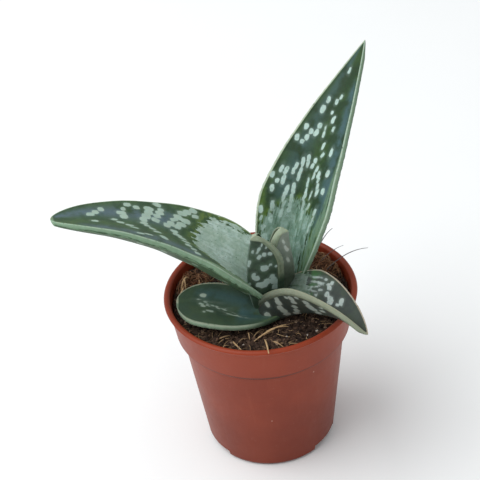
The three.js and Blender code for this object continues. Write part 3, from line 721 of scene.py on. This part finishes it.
def floor_material():
    """Plain white board, barely uneven."""
    s = Shader("floor")
    colour = s.mix(s.noise(0.02, 2.0, 0.5), (247, 250, 251), (250, 253, 254))
    return s.surface(colour, 0.75, 0.2)


# Pot

def arc(centre, radius, first, last, steps):
    """Points on an arc in the radius and height plane, angles in degrees."""
    angles = np.radians(np.linspace(first, last, steps))
    return [(centre[0] + radius * math.cos(a), centre[1] + radius * math.sin(a)) for a in angles]


def inside_radius(z):
    """The radius of the moulding's inner face at a height."""
    if z > COLLAR_BOTTOM:
        share = (z - COLLAR_BOTTOM) / (POT_HEIGHT - COLLAR_BOTTOM)
        return COLLAR_BOTTOM_RADIUS + (COLLAR_TOP_RADIUS - COLLAR_BOTTOM_RADIUS) * share - POT_WALL
    share = z / (COLLAR_BOTTOM - STEP_HEIGHT)
    return WALL_BOTTOM_RADIUS + (WALL_TOP_RADIUS - WALL_BOTTOM_RADIUS) * share - POT_WALL


def rounded(points, radius, steps=5):
    """A polyline whose inner corners are rounded."""
    result = [points[0]]
    for before, corner, after in zip(points, points[1:], points[2:]):
        corner = Vector(corner)
        to_before = Vector(before) - corner
        to_after = Vector(after) - corner
        reach = min(radius, 0.45 * to_before.length, 0.45 * to_after.length)
        start = corner + to_before.normalized() * reach
        end = corner + to_after.normalized() * reach
        for i in range(steps + 1):
            t = i / steps
            result.append(tuple(start * (1 - t) ** 2 + corner * 2 * t * (1 - t) + end * t * t))
    result.append(points[-1])
    return result


def turned(profile, segments):
    """Points and faces of a profile turned about the Z axis. Its ends are on the axis."""
    inner = profile[1:-1]
    angles = np.linspace(0, 2 * math.pi, segments, endpoint=False)
    points = [(r * math.cos(a), r * math.sin(a), z) for r, z in inner for a in angles]
    points += [(0, 0, profile[0][1]), (0, 0, profile[-1][1])]
    return points, ring_faces(len(inner), segments)


def sector_points(inner, outer, azimuth, half_angle, low, high, steps=12):
    """A closed block between two radii and two heights, spread about an azimuth."""
    angles = np.radians(np.linspace(azimuth - half_angle, azimuth + half_angle, steps))
    loop = [(outer * math.cos(a), outer * math.sin(a)) for a in angles]
    loop += [(inner * math.cos(a), inner * math.sin(a)) for a in angles[::-1]]
    count = len(loop)
    points = [(x, y, low) for x, y in loop] + [(x, y, high) for x, y in loop]
    faces = [tuple(range(count))[::-1], tuple(range(count, 2 * count))]
    faces += [(k, (k + 1) % count, (k + 1) % count + count, k + count) for k in range(count)]
    return points, faces


def boolean(target, points, faces, operation):
    """Joins a closed shape to an object, or cuts it away."""
    tool = mesh_object("tool", points, faces, target.data.materials[0], smooth=False)
    modifier = target.modifiers.new("cut", "BOOLEAN")
    modifier.operation = operation
    modifier.solver = "EXACT"
    modifier.object = tool
    bpy.context.view_layer.objects.active = target
    bpy.ops.object.modifier_apply(modifier=modifier.name)
    bpy.data.objects.remove(tool)


def pot_profile():
    """The moulding's section, from the middle of its underside round the lip to the middle inside."""
    lip = LIP_THICKNESS / 2
    outside = rounded([
        (0, 0), (FOOT_RADIUS, 0), (WALL_BOTTOM_RADIUS, FOOT_CHAMFER),
        (WALL_TOP_RADIUS, COLLAR_BOTTOM - STEP_HEIGHT), (COLLAR_BOTTOM_RADIUS, COLLAR_BOTTOM),
        (COLLAR_TOP_RADIUS, POT_HEIGHT - LIP_THICKNESS), (LIP_RADIUS, POT_HEIGHT - lip),
    ], EDGE_ROUNDING)
    top = arc((LIP_RADIUS - lip, POT_HEIGHT - lip), lip, 0, 180, LIP_STEPS)
    inside = rounded([
        top[-1], (inside_radius(COLLAR_BOTTOM + STEP_HEIGHT), COLLAR_BOTTOM + STEP_HEIGHT),
        (inside_radius(COLLAR_BOTTOM - STEP_HEIGHT), COLLAR_BOTTOM),
        (inside_radius(FLOOR_THICKNESS), FLOOR_THICKNESS), (0, FLOOR_THICKNESS),
    ], EDGE_ROUNDING)
    return outside[:-1] + top[1:-1] + inside


def cut_channel(pot, azimuth):
    """A drainage channel under the floor, with a roof over it inside and a hole through the roof."""
    roof_half = CHANNEL_HALF_ANGLE + math.degrees(POT_WALL / WALL_BOTTOM_RADIUS)
    boolean(pot, *sector_points(
        CHANNEL_INNER_RADIUS - POT_WALL, WALL_BOTTOM_RADIUS - POT_WALL / 2, azimuth, roof_half,
        FLOOR_THICKNESS / 2, CHANNEL_HEIGHT + FLOOR_THICKNESS), "UNION")
    boolean(pot, *sector_points(
        CHANNEL_INNER_RADIUS, LIP_RADIUS, azimuth, CHANNEL_HALF_ANGLE, -1, CHANNEL_HEIGHT),
        "DIFFERENCE")
    drill_top = CHANNEL_HEIGHT + FLOOR_THICKNESS + 0.7
    hole, faces = turned([
        (0, -1), (DRAIN_HOLE_RADIUS, -1), (DRAIN_HOLE_RADIUS, drill_top), (0, drill_top)], HOLE_SEGMENTS)
    shift = np.array([math.cos(math.radians(azimuth)), math.sin(math.radians(azimuth)), 0])
    boolean(pot, np.array(hole) + shift * DRAIN_HOLE_FROM_AXIS, faces, "DIFFERENCE")


def make_pot():
    pot = mesh_object("pot_moulding", *turned(pot_profile(), POT_SEGMENTS), pot_material())
    for index in range(CHANNEL_COUNT):
        cut_channel(pot, CHANNEL_FIRST_AZIMUTH + index * 360 / CHANNEL_COUNT)
    pot.data.set_sharp_from_angle(angle=math.radians(SHARP_ANGLE))
    inward = []
    for vertex in pot.data.vertices:
        x, y, z = vertex.co / MM
        beyond = inside_radius(z) + POT_WALL / 3 - math.hypot(x, y)
        inward.append(1.0 if z > COLLAR_BOTTOM and beyond > 0 else 0.0)
    pot.data.attributes.new("inside", "FLOAT", "POINT").data.foreach_set("value", inward)
    finish_piece(pot, "pot_plastic", "pot")


# Soil

def coir_share(x, y):
    """How much of the ground at a place is coir, 0 to 1."""
    share = 0.0
    for patch in COIR_PATCHES:
        away = math.hypot(x - patch["centre"][0], y - patch["centre"][1]) / patch["radius"]
        share = max(share, 1 - away * away)
    return min(1.0, 1.4 * max(share, 0.0))


def soil_height(x, y):
    """The packed soil's surface, with the coir risen a little above it."""
    outward = math.hypot(x, y) / COLLAR_TOP_RADIUS
    broad = math.sin(0.31 * x + 0.8) * math.cos(0.27 * y - 0.5)
    crumbs = math.sin(1.1 * x + 0.7 * y) * math.cos(0.9 * y - 0.8 * x + 1.3)
    fine = math.sin(2.1 * x - 1.2 * y + 0.4) * math.sin(1.6 * y + 0.9 * x)
    relief = SOIL_CRUMB * (0.6 * broad + 0.6 * crumbs + 0.5 * fine)
    return SOIL_LEVEL - SOIL_EDGE_DROP * outward * outward + relief + coir_share(x, y)


def ground(x, y):
    """The height of the soil's surface with its fine relief."""
    lumps = noise.fractal(Vector((x * 1.1, y * 1.1, 1.7)), 0.7, 2.1, 5)
    cells = noise.voronoi(Vector((x * 1.1, y * 1.1, 0.3)))[0][0]
    return soil_height(x, y) + 0.5 * lumps + 0.6 * (0.5 - cells)


def make_soil():
    rings, segments = 96, 300
    points = []
    for ring in range(rings):
        radius = SOIL_RADIUS * (1 - ring / rings)
        for k in range(segments):
            angle = 2 * math.pi * k / segments
            x, y = radius * math.cos(angle), radius * math.sin(angle)
            points.append((x, y, ground(x, y)))
    below = [(x, y, SOIL_LEVEL - SOIL_DEPTH) for x, y, _ in points[:segments]]
    points = below + points + [(0, 0, SOIL_LEVEL - SOIL_DEPTH), (0, 0, ground(0, 0))]
    coir = [coir_share(x, y) for x, y, _ in points]
    faces = ring_faces(rings + 1, segments)
    finish_piece(mesh_object("soil_bed", points, faces, soil_material(), {"coir": coir}), "soil", "soil")


class Heap:
    """Loose bits gathered into one mesh, each with its own tone and share of coir."""

    def __init__(self):
        self.points = []
        self.faces = []
        self.tones = []
        self.coir = []

    def add(self, points, faces, tone, coir):
        first = len(self.points)
        self.faces.extend(tuple(first + i for i in face) for face in faces)
        self.points.extend(points)
        self.tones.extend([tone] * len(points))
        self.coir.extend([coir] * len(points))

    def finish(self, name, material, smooth=True):
        attributes = {"tone": self.tones, "coir": self.coir}
        finish_piece(mesh_object(name, self.points, self.faces, material, attributes, smooth), "soil")


def chance_place(rng, radius, centre=(0, 0)):
    """A chance place within a radius of a centre."""
    away = radius * math.sqrt(rng.random())
    angle = rng.uniform(0, 2 * math.pi)
    return centre[0] + away * math.cos(angle), centre[1] + away * math.sin(angle)


def kept_inside(x, y, margin):
    """A place, moved towards the axis where it is nearer to the soil's edge than a margin."""
    reach = max(1.0, math.hypot(x, y) / (SOIL_RADIUS - margin))
    return x / reach, y / reach


def lump_shapes(rng, subdivisions):
    """Irregular crumbs one unit in radius: the points of each, and the faces that all share."""
    shape = bmesh.new()
    bmesh.ops.create_icosphere(shape, subdivisions=subdivisions, radius=1.0)
    ball = [vertex.co.copy() for vertex in shape.verts]
    faces = [[vertex.index for vertex in face.verts] for face in shape.faces]
    shape.free()
    shapes = []
    for _ in range(LUMP_SHAPES):
        phase = Vector(rng.uniform(-50, 50, 3))
        stretch = rng.uniform(0.55, 1.3, 3)
        shapes.append([co * (1 + 0.5 * noise.noise(co * 1.6 + phase)) for co in ball] * stretch)
    return shapes, faces


def scatter(name, places, sizes, material, seed, subdivisions=1):
    """Crumbs on the soil at the given places, most of them near the smaller of two sizes."""
    rng = np.random.default_rng(seed)
    shapes, faces = lump_shapes(rng, subdivisions)
    heap = Heap()
    for x, y in places:
        size = sizes[0] + (sizes[1] - sizes[0]) * rng.random() ** 2.6
        axis = Vector(rng.normal(size=3)).normalized()
        turn = np.array(Matrix.Rotation(rng.uniform(0, 6.28), 3, axis))
        body = shapes[rng.integers(len(shapes))] @ turn.T * size
        body = body + (x, y, ground(x, y) + 0.3 * size)
        heap.add(body, faces, rng.random() ** 1.7, coir_share(x, y))
    heap.finish(name, material, smooth=subdivisions > 1)


def tube(line, thickness, sides=5):
    """Points and faces of a slightly flat, tapering rod along a list of points."""
    points = []
    for i, place in enumerate(line):
        along = (line[min(i + 1, len(line) - 1)] - line[max(i - 1, 0)]).normalized()
        across = along.cross(Vector((0, 0, 1)))
        across = (across if across.length > 1e-4 else Vector((1, 0, 0))).normalized()
        upward = across.cross(along)
        share = i / (len(line) - 1)
        radius = thickness / 2 * (0.45 + 0.55 * math.sin(math.pi * min(max(share, 0.12), 0.88)))
        for k in range(sides):
            angle = 2 * math.pi * k / sides
            offset = across * math.cos(angle) + upward * (0.7 * math.sin(angle))
            points.append(tuple(place + offset * radius))
    points += [tuple(line[0]), tuple(line[-1])]
    return points, ring_faces(len(line), sides)


def bezier(points, steps):
    """A smooth line through three points."""
    a, b, c = (Vector(p) for p in points)
    control = 2 * b - 0.5 * (a + c)
    shares = [i / steps for i in range(steps + 1)]
    return [a * (1 - t) ** 2 + control * 2 * t * (1 - t) + c * t * t for t in shares]


def loose_hair(rng, x, y, length, lift):
    """A curved hair about a place, with its ends near the ground."""
    heading = rng.uniform(0, 2 * math.pi)
    stations = []
    for t in (-0.5, 0.0, 0.5):
        sway = rng.normal(0, HAIR_BEND) * length
        px = x + t * length * math.cos(heading) - sway * math.sin(heading)
        py = y + t * length * math.sin(heading) + sway * math.cos(heading)
        px, py = kept_inside(px, py, margin=0.5)
        rise = lift * rng.random() if t == 0 else rng.uniform(-0.4, 0.6 * lift)
        stations.append((px, py, ground(px, py) + rise))
    return bezier(stations, steps=8)


def make_fibres():
    rng = np.random.default_rng(FIBRES_SEED)
    heap = Heap()
    for start, end, middle, rise, thickness, tone in STRAWS:
        half = [(a + b) / 2 for a, b in zip(start, end)]
        line = bezier([
            (*start, soil_height(*start) - 0.4), (*half, soil_height(*half) + middle),
            (*end, soil_height(*end) + rise)], steps=14)
        heap.add(*tube(line, thickness, sides=8), tone, 0.0)
    for _ in range(HAIR_COUNT):
        line = loose_hair(rng, *chance_place(rng, SCATTER_RADIUS), rng.uniform(1.0, 5.0), 0.8)
        heap.add(*tube(line, rng.uniform(0.1, 0.34)), rng.random() ** 1.8, 0.0)
    for patch in COIR_PATCHES:
        for _ in range(patch["hairs"]):
            x, y = kept_inside(*chance_place(rng, patch["radius"], patch["centre"]), margin=1.0)
            line = loose_hair(rng, x, y, rng.uniform(1.6, 5.0), 1.6)
            heap.add(*tube(line, rng.uniform(0.1, 0.28)), rng.random() ** 1.5, rng.uniform(0.4, 1.0))
    heap.finish("soil_fibres", fibre_material())


# Leaves

def course(values, u):
    """A value that is given at the base, the middle and the tip, at a share of the length."""
    base, middle, tip = values
    return base * (1 - u) * (1 - 2 * u) + middle * 4 * u * (1 - u) + tip * u * (2 * u - 1)


def leaf_axes(leaf, u):
    """The directions along, up and sideways at each share of the length."""
    heading = np.radians(course(leaf["heading"], u))
    rise = np.radians(course(leaf["rise"], u))
    roll = np.radians(leaf["roll"][0] + (leaf["roll"][1] - leaf["roll"][0]) * u)[:, None]
    along = np.stack([
        np.cos(rise) * np.cos(heading), np.cos(rise) * np.sin(heading), np.sin(rise)], 1)
    upright = np.stack([
        -np.sin(rise) * np.cos(heading), -np.sin(rise) * np.sin(heading), np.cos(rise)], 1)
    sideways = np.cross(upright, along)
    up = upright * np.cos(roll) + sideways * np.sin(roll)
    side = sideways * np.cos(roll) - upright * np.sin(roll)
    return along, up, side


def leaf_half_width(leaf, u):
    """Half the width at each share of the length, narrowing to the base and to the tip."""
    near = leaf["base_share"] + (1 - leaf["base_share"]) * np.sin(
        np.pi / 2 * np.clip(u / leaf["widest_at"], -1, 1))
    beyond = np.clip((u - leaf["widest_at"]) / (1 - leaf["widest_at"]), 0, 1)
    far = (1 - beyond ** leaf["taper"]) ** leaf["tip_power"]
    return leaf["width"] / 2 * np.where(u < leaf["widest_at"], near, far)


def leaf_middle(leaf, u):
    """The middle line of the upper side, summed along its direction in small steps."""
    fine = np.linspace(u.min(), 1, 2001)
    along = leaf_axes(leaf, fine)[0]
    steps = np.diff(fine)[:, None] * leaf["length"] * (along[1:] + along[:-1]) / 2
    line = np.concatenate([np.zeros((1, 3)), np.cumsum(steps, 0)])
    root = [np.interp(0, fine, line[:, k]) for k in range(3)]
    line += np.array(leaf["root"]) - np.array(root)
    return np.stack([np.interp(u, fine, line[:, k]) for k in range(3)], 1)


def spot_field(rows, leaf, along, across, rng):
    """How far inside a spot each place is, in millimetres, negative outside. A spot is a blunt oval
    whose place, size and tilt vary a little by chance."""
    field = np.full(along.shape, NO_SPOT)
    for start, end, count, length, width in rows:
        for index in range(count):
            t = index / max(count - 1, 1)
            share = start[0] + (end[0] - start[0]) * t
            wing = start[1] + (end[1] - start[1]) * t
            half = leaf_half_width(leaf, np.array([share]))[0]
            off_along = along - share * leaf["length"] - rng.normal(0, SPOT_SHIFT[0])
            off_across = across - wing * half - rng.normal(0, SPOT_SHIFT[1])
            radii = length / 2 * rng.uniform(*SPOT_SCALE), width / 2 * rng.uniform(*SPOT_SCALE)
            tilt = rng.normal(0, SPOT_TILT)
            reach = np.abs((off_along + tilt * off_across) / radii[0]) ** SPOT_BLUNTNESS
            reach = reach + np.abs((off_across - tilt * off_along) / radii[1]) ** SPOT_BLUNTNESS
            field = np.maximum(field, (1 - reach ** (1 / SPOT_BLUNTNESS)) * min(radii))
    return field


def chance_rows(rng, bands):
    """Bands of spots for a face that the photograph doesn't show: rows that fall back to the edge."""
    rows = []
    for band in range(bands):
        apex = 0.16 + 0.7 * band / bands + rng.uniform(-0.02, 0.02)
        for wing in (-1, 1):
            drop = rng.uniform(0.05, 0.1)
            rows.append((
                (apex + rng.uniform(-0.02, 0.02), wing * rng.uniform(0.12, 0.22)),
                (apex - drop, wing * rng.uniform(0.75, 0.9)), int(rng.integers(3, 6)),
                rng.uniform(1.8, 2.6), rng.uniform(1.1, 1.6)))
    return rows


def stretch_of(u, low, high, soft):
    """1 between two shares of the length, falling to 0 beyond them."""
    return np.clip((u - low) / soft + 1, 0, 1) * np.clip((high - u) / soft + 1, 0, 1)


def upper_zones(name, leaf, u, share, half):
    """The pale base in millimetres inside its edge, and the shares of lime, light green, and blue bloom
    with painted sheen.
    """
    zone = PALE_BASE[name]
    first = share > 0
    fall = np.where(first, zone["fall"][0], zone["fall"][1])
    inside = np.where(first, zone["inside"][0], zone["inside"][1])
    ending = zone["until"] - fall * share ** 2
    pale = np.minimum((ending - u) * leaf["length"], (inside - np.abs(share)) * half)
    beside = np.exp(-((pale + 1.0) / 1.6) ** 2) * (pale < 0.4)
    rim_patches = np.exp(-((np.abs(share) - 0.93) / 0.12) ** 2 - ((u - zone["until"] + 0.04) / 0.1) ** 2)
    lime = np.clip(beside + rim_patches, 0, 1)
    bloom_and_sheen = np.zeros(pale.shape)
    for centre, spread, low, high, strength in BLOOM_AND_SHEEN.get(name, []):
        across = np.exp(-((share - centre) / spread) ** 2)
        bloom_and_sheen = np.maximum(bloom_and_sheen, strength * across * stretch_of(u, low, high, 0.06))
    light = np.zeros(pale.shape)
    if name in LIGHT_SIDE:
        side = LIGHT_SIDE[name]
        inner = side["inner"][0] + side["inner"][1] * u
        depth = np.minimum((share * side["wing"] - inner) * half, (side["until"] - u) * leaf["length"] / 3)
        light = np.clip(depth / 0.8 + 0.5, 0, 1)
    return np.clip(pale, -PALE_REACH, PALE_REACH), lime, bloom_and_sheen, light


def leaf_grid(leaf):
    """The stations along a leaf and, for each point round its section, the share of its wing and the
    turn round the margin, which is 0 on the upper face and pi on the lower face."""
    start = -LEAF_SHEATH / leaf["length"]
    tip_start = 1 - TIP_PART
    even = np.linspace(start, tip_start, int(leaf["length"] * (tip_start - start) / LEAF_STEP))
    close = 1 - TIP_PART * (1 - np.linspace(0, 1, TIP_STATIONS + 2)[1:-1]) ** 1.8
    upper_count = max(26, int(leaf["width"] / UPPER_STEP))
    lower_count = max(22, int(leaf["width"] / LOWER_STEP))
    upper = np.linspace(FACE_SHARE, -FACE_SHARE, upper_count)
    lower = np.linspace(-FACE_SHARE, FACE_SHARE, lower_count)
    bead_turn = np.linspace(0, np.pi, BEAD_POINTS + 2)[1:-1]
    share = np.concatenate([upper, np.full(BEAD_POINTS, -1.0), lower, np.full(BEAD_POINTS, 1.0)])
    turn = np.concatenate([
        np.zeros(upper_count), bead_turn, np.full(lower_count, np.pi), bead_turn[::-1]])
    return np.concatenate([even, close]), share, turn


def by_face(turn, upper, lower, bead):
    """A value for the points on each face and on the margin."""
    return np.where(turn == 0, upper, np.where(turn == np.pi, lower, bead))


def wing_width(leaf, u, share):
    """The width of the wing that each point is on."""
    return leaf_half_width(leaf, u) * (1 + np.sign(share) * leaf["lean"])


def leaf_section(leaf, u, share, turn, seed):
    """How far each point is to the side of the leaf's middle line and above it, and how thick the
    margin and the keel are at each station."""
    half = leaf_half_width(leaf, u)
    full = 2 * half / leaf["width"]
    fold = np.radians(course(leaf["fold"], u))
    edge = np.minimum(MARGIN_THICKNESS, MARGIN_THINNING * half + TIP_THICKNESS) / np.cos(fold)
    belly = leaf["keel"] * full ** KEEL_FULLNESS * (1 - KEEL_THINNING * u)
    clasp = leaf["clasp"] * np.clip(1 - u / CLASP_REACH, 0, 1) ** CLASP_FADE
    nearing = np.clip(1 - (1 - u) * leaf["length"] / TIP_ROUNDING, 0, 1)
    blunt = np.sqrt(1 - TIP_BLUNTNESS * nearing ** 2)
    keel = np.maximum(belly, edge) * blunt
    edge = edge * blunt
    wing = wing_width(leaf, u, share)
    t = by_face(turn, np.abs(share), np.abs(share), FACE_SHARE)
    bend = (np.hypot(t, VALLEY_ROUNDING) - VALLEY_ROUNDING) / (
        math.hypot(1, VALLEY_ROUNDING) - VALLEY_ROUNDING)
    face = wing * np.sin(fold) * bend
    depth = edge + (keel - edge) * (1 - t ** PLUMPNESS)
    along = u * leaf["length"]
    teeth = np.sin(along * 5.1 + np.sin(along * 1.3) * 2) + np.sin(along * 2.1 + seed)
    overhang = wing * (1 - FACE_SHARE) * np.cos(fold) + MARGIN_BULGE * edge
    overhang = overhang + TOOTH_HEIGHT * teeth * full ** 0.5
    rib = RIB_HEIGHT * np.sin(np.pi * np.clip(1 - (1 - t) * wing / RIB_WIDTH, 0, 1)) * full ** 0.5
    waves = WAVE_HEIGHT * np.sin(along * 0.33 + seed) * np.sin(share * 2.4 + along * 0.11) * full
    hug = clasp * np.where(share > 0, (1 - t) ** 4, 1 - t ** PLUMPNESS) * (turn == np.pi)
    bead = face - depth / 2 + depth / 2 * np.cos(turn)
    height = by_face(turn, face + rib, face - depth, bead) - CLASP_SINK * hug + waves
    outward = wing * t * np.cos(fold) + by_face(turn, 0, 0, overhang * np.sin(turn))
    return outward * np.sign(share) - hug, height, edge, keel


def leaf_looks(name, leaf, u, share, turn, edge, rng):
    """What the skin's material takes at each point of the grid."""
    half = leaf_half_width(leaf, u)
    across = share * half
    along = u * leaf["length"] + 0 * across
    lower_rows = LOWER_ROWS.get(name) or chance_rows(rng, 5 if leaf["length"] > 40 else 3)
    lower_spots = spot_field(lower_rows, leaf, along, across, rng)
    upper_spots = spot_field(UPPER_ROWS.get(name, []), leaf, along, across, rng)
    pale, lime, bloom_and_sheen, light = upper_zones(name, leaf, u, share, half)
    horn = HORN[name]
    back_light = horn.get("back", 0.0) * np.clip((u - 0.3) / 0.4, 0, 1)
    past_corner = (FACE_SHARE - np.abs(share)) * wing_width(leaf, u, share)
    round_margin = MARGIN_ROUND * edge
    return {
        "spots": by_face(turn, upper_spots, lower_spots, NO_SPOT),
        "pale": by_face(turn, pale, -PALE_REACH, -PALE_REACH),
        "lime": by_face(turn, lime, 0, 0),
        "bloom_and_sheen": by_face(turn, bloom_and_sheen, 0.2, 0),
        "light": by_face(turn, light, back_light, 0),
        "keel": by_face(turn, 0, np.clip(1 - np.abs(across) / 0.5, 0, 1), 0),
        "corner": by_face(turn, -past_corner, round_margin + past_corner, turn / np.pi * round_margin),
        "rim": turn / np.pi,
        "first": np.clip(across / 0.4 + 0.5, 0, 1),
        "tip": np.clip(1.5 + (horn["cap"] - (1 - u) * leaf["length"]) / 0.3, 0, 1),
        "horn": np.clip((u - horn["start"]) / horn["over"], 0, 1),
        "grain": np.stack([along, across, FACE_APART * (turn == np.pi) + 0 * across], -1),
    }


def make_leaf(name, leaf, material, seed):
    stations, share, turn = leaf_grid(leaf)
    u = stations[:, None]
    reach, height, edge, keel = leaf_section(leaf, u, share, turn, seed)
    _, up, side = leaf_axes(leaf, stations)
    middle = leaf_middle(leaf, stations)
    points = middle[:, None] + side[:, None] * reach[..., None] + up[:, None] * height[..., None]
    tip = leaf_middle(leaf, np.array([stations[0], 1.0]))[1] - up[-1] * edge[-1] / 2
    base = middle[0] - up[0] * keel[0] / 2

    # Each look's values at the grid's points, and then at the point that closes each end.
    looks = leaf_looks(name, leaf, u, share, turn, edge, np.random.default_rng(seed))
    attributes = {}
    for key, field in looks.items():
        size = field.shape[2:]
        whole = np.broadcast_to(field, (*reach.shape, *size))
        attributes[key] = np.concatenate([whole.reshape(-1, *size), whole[[0, -1], 0]])
    vertices = np.concatenate([points.reshape(-1, 3), [base, tip]])
    faces = ring_faces(len(stations), len(share))
    finish_piece(mesh_object(name + "_blade", vertices, faces, material, attributes), "leaf", name)


def make_stem():
    profile = rounded([
        (0, ROOT_BOTTOM), (ROOT_RADIUS * 0.6, ROOT_BOTTOM), (ROOT_RADIUS, ROOT_BOTTOM + 3),
        (ROOT_RADIUS, SOIL_LEVEL - 4), (STEM_RADIUS, SOIL_LEVEL - 1), (STEM_RADIUS, SOIL_LEVEL + 2),
        (STEM_RADIUS * 0.7, STEM_TOP - 1), (0, STEM_TOP)], STEM_ROUNDING)
    points, faces = turned(profile, STEM_SEGMENTS)
    points = np.array(points) + (*STEM_CENTRE, 0)
    finish_piece(mesh_object("stem_crown", points, faces, stem_material()), "stem", "stem")


# Stage

def make_stage():
    """A white floor that runs out of sight, an even studio around it, and one wide soft lamp."""
    size = FLOOR_SIZE / MM
    corners = [(-size, -size, 0), (size, -size, 0), (size, size, 0), (-size, size, 0)]
    mesh_object("floor", corners, [(0, 1, 2, 3)], floor_material(), smooth=False)

    world = bpy.data.worlds.new("studio")
    world.use_nodes = True
    background = world.node_tree.nodes["Background"]
    background.inputs["Color"].default_value = (1, 1, 1, 1)
    background.inputs["Strength"].default_value = SURROUND
    bpy.context.scene.world = world
    bpy.context.scene.view_settings.view_transform = "Standard"

    light = bpy.data.lights.new("key", "AREA")
    light.shape = "RECTANGLE"
    light.size, light.size_y = KEY_SIZE
    light.energy = KEY_POWER
    key = bpy.data.objects.new("key", light)
    key.location = KEY_PLACE
    facing = Vector(KEY_PLACE) - Vector(KEY_AIM)
    key.rotation_euler = facing.to_track_quat("Z", "Y").to_euler()
    bpy.context.scene.collection.objects.link(key)


def make_camera():
    """The photograph's viewpoint, rolled a little, with the object a little off the picture's middle."""
    tilt = Matrix.Rotation(math.radians(90 - CAMERA_RISE), 4, "X")
    turn = tilt @ Matrix.Rotation(math.radians(CAMERA_ROLL), 4, "Z")
    place = turn @ Vector((-CAMERA_SHIFT[0], -CAMERA_SHIFT[1], CAMERA_DISTANCE))
    place.z += CAMERA_AIM_HEIGHT
    camera = bpy.data.cameras.new("camera")
    camera.sensor_width = SENSOR
    camera.lens = SENSOR * CAMERA_FOCAL_PIXELS / PICTURE_SIZE
    camera.clip_start = 0.01
    obj = bpy.data.objects.new("camera", camera)
    obj.matrix_world = Matrix.Translation(place * MM) @ turn
    bpy.context.scene.collection.objects.link(obj)
    bpy.context.scene.camera = obj


make_camera()
make_stage()
make_pot()
make_soil()
chance = np.random.default_rng(PLACES_SEED)
crumb_places = [chance_place(chance, SCATTER_RADIUS) for _ in range(CRUMB_COUNT)]
scatter("soil_crumbs", crumb_places, CRUMB_SIZES, crumb_material(), CRUMBS_SEED)
more_grains = [chance_place(chance, SCATTER_RADIUS) for _ in range(MORE_GRAINS)]
scatter("pale_grains", PALE_GRAINS + more_grains, GRAIN_SIZES, grain_material(), GRAINS_SEED, 2)
make_fibres()
make_stem()
for order, (leaf_name, leaf_sizes) in enumerate(LEAVES.items()):
    skin_material = leaf_material(leaf_name + "_skin", SKINS[leaf_name])
    make_leaf(leaf_name, leaf_sizes, skin_material, FIRST_LEAF_SEED + order)
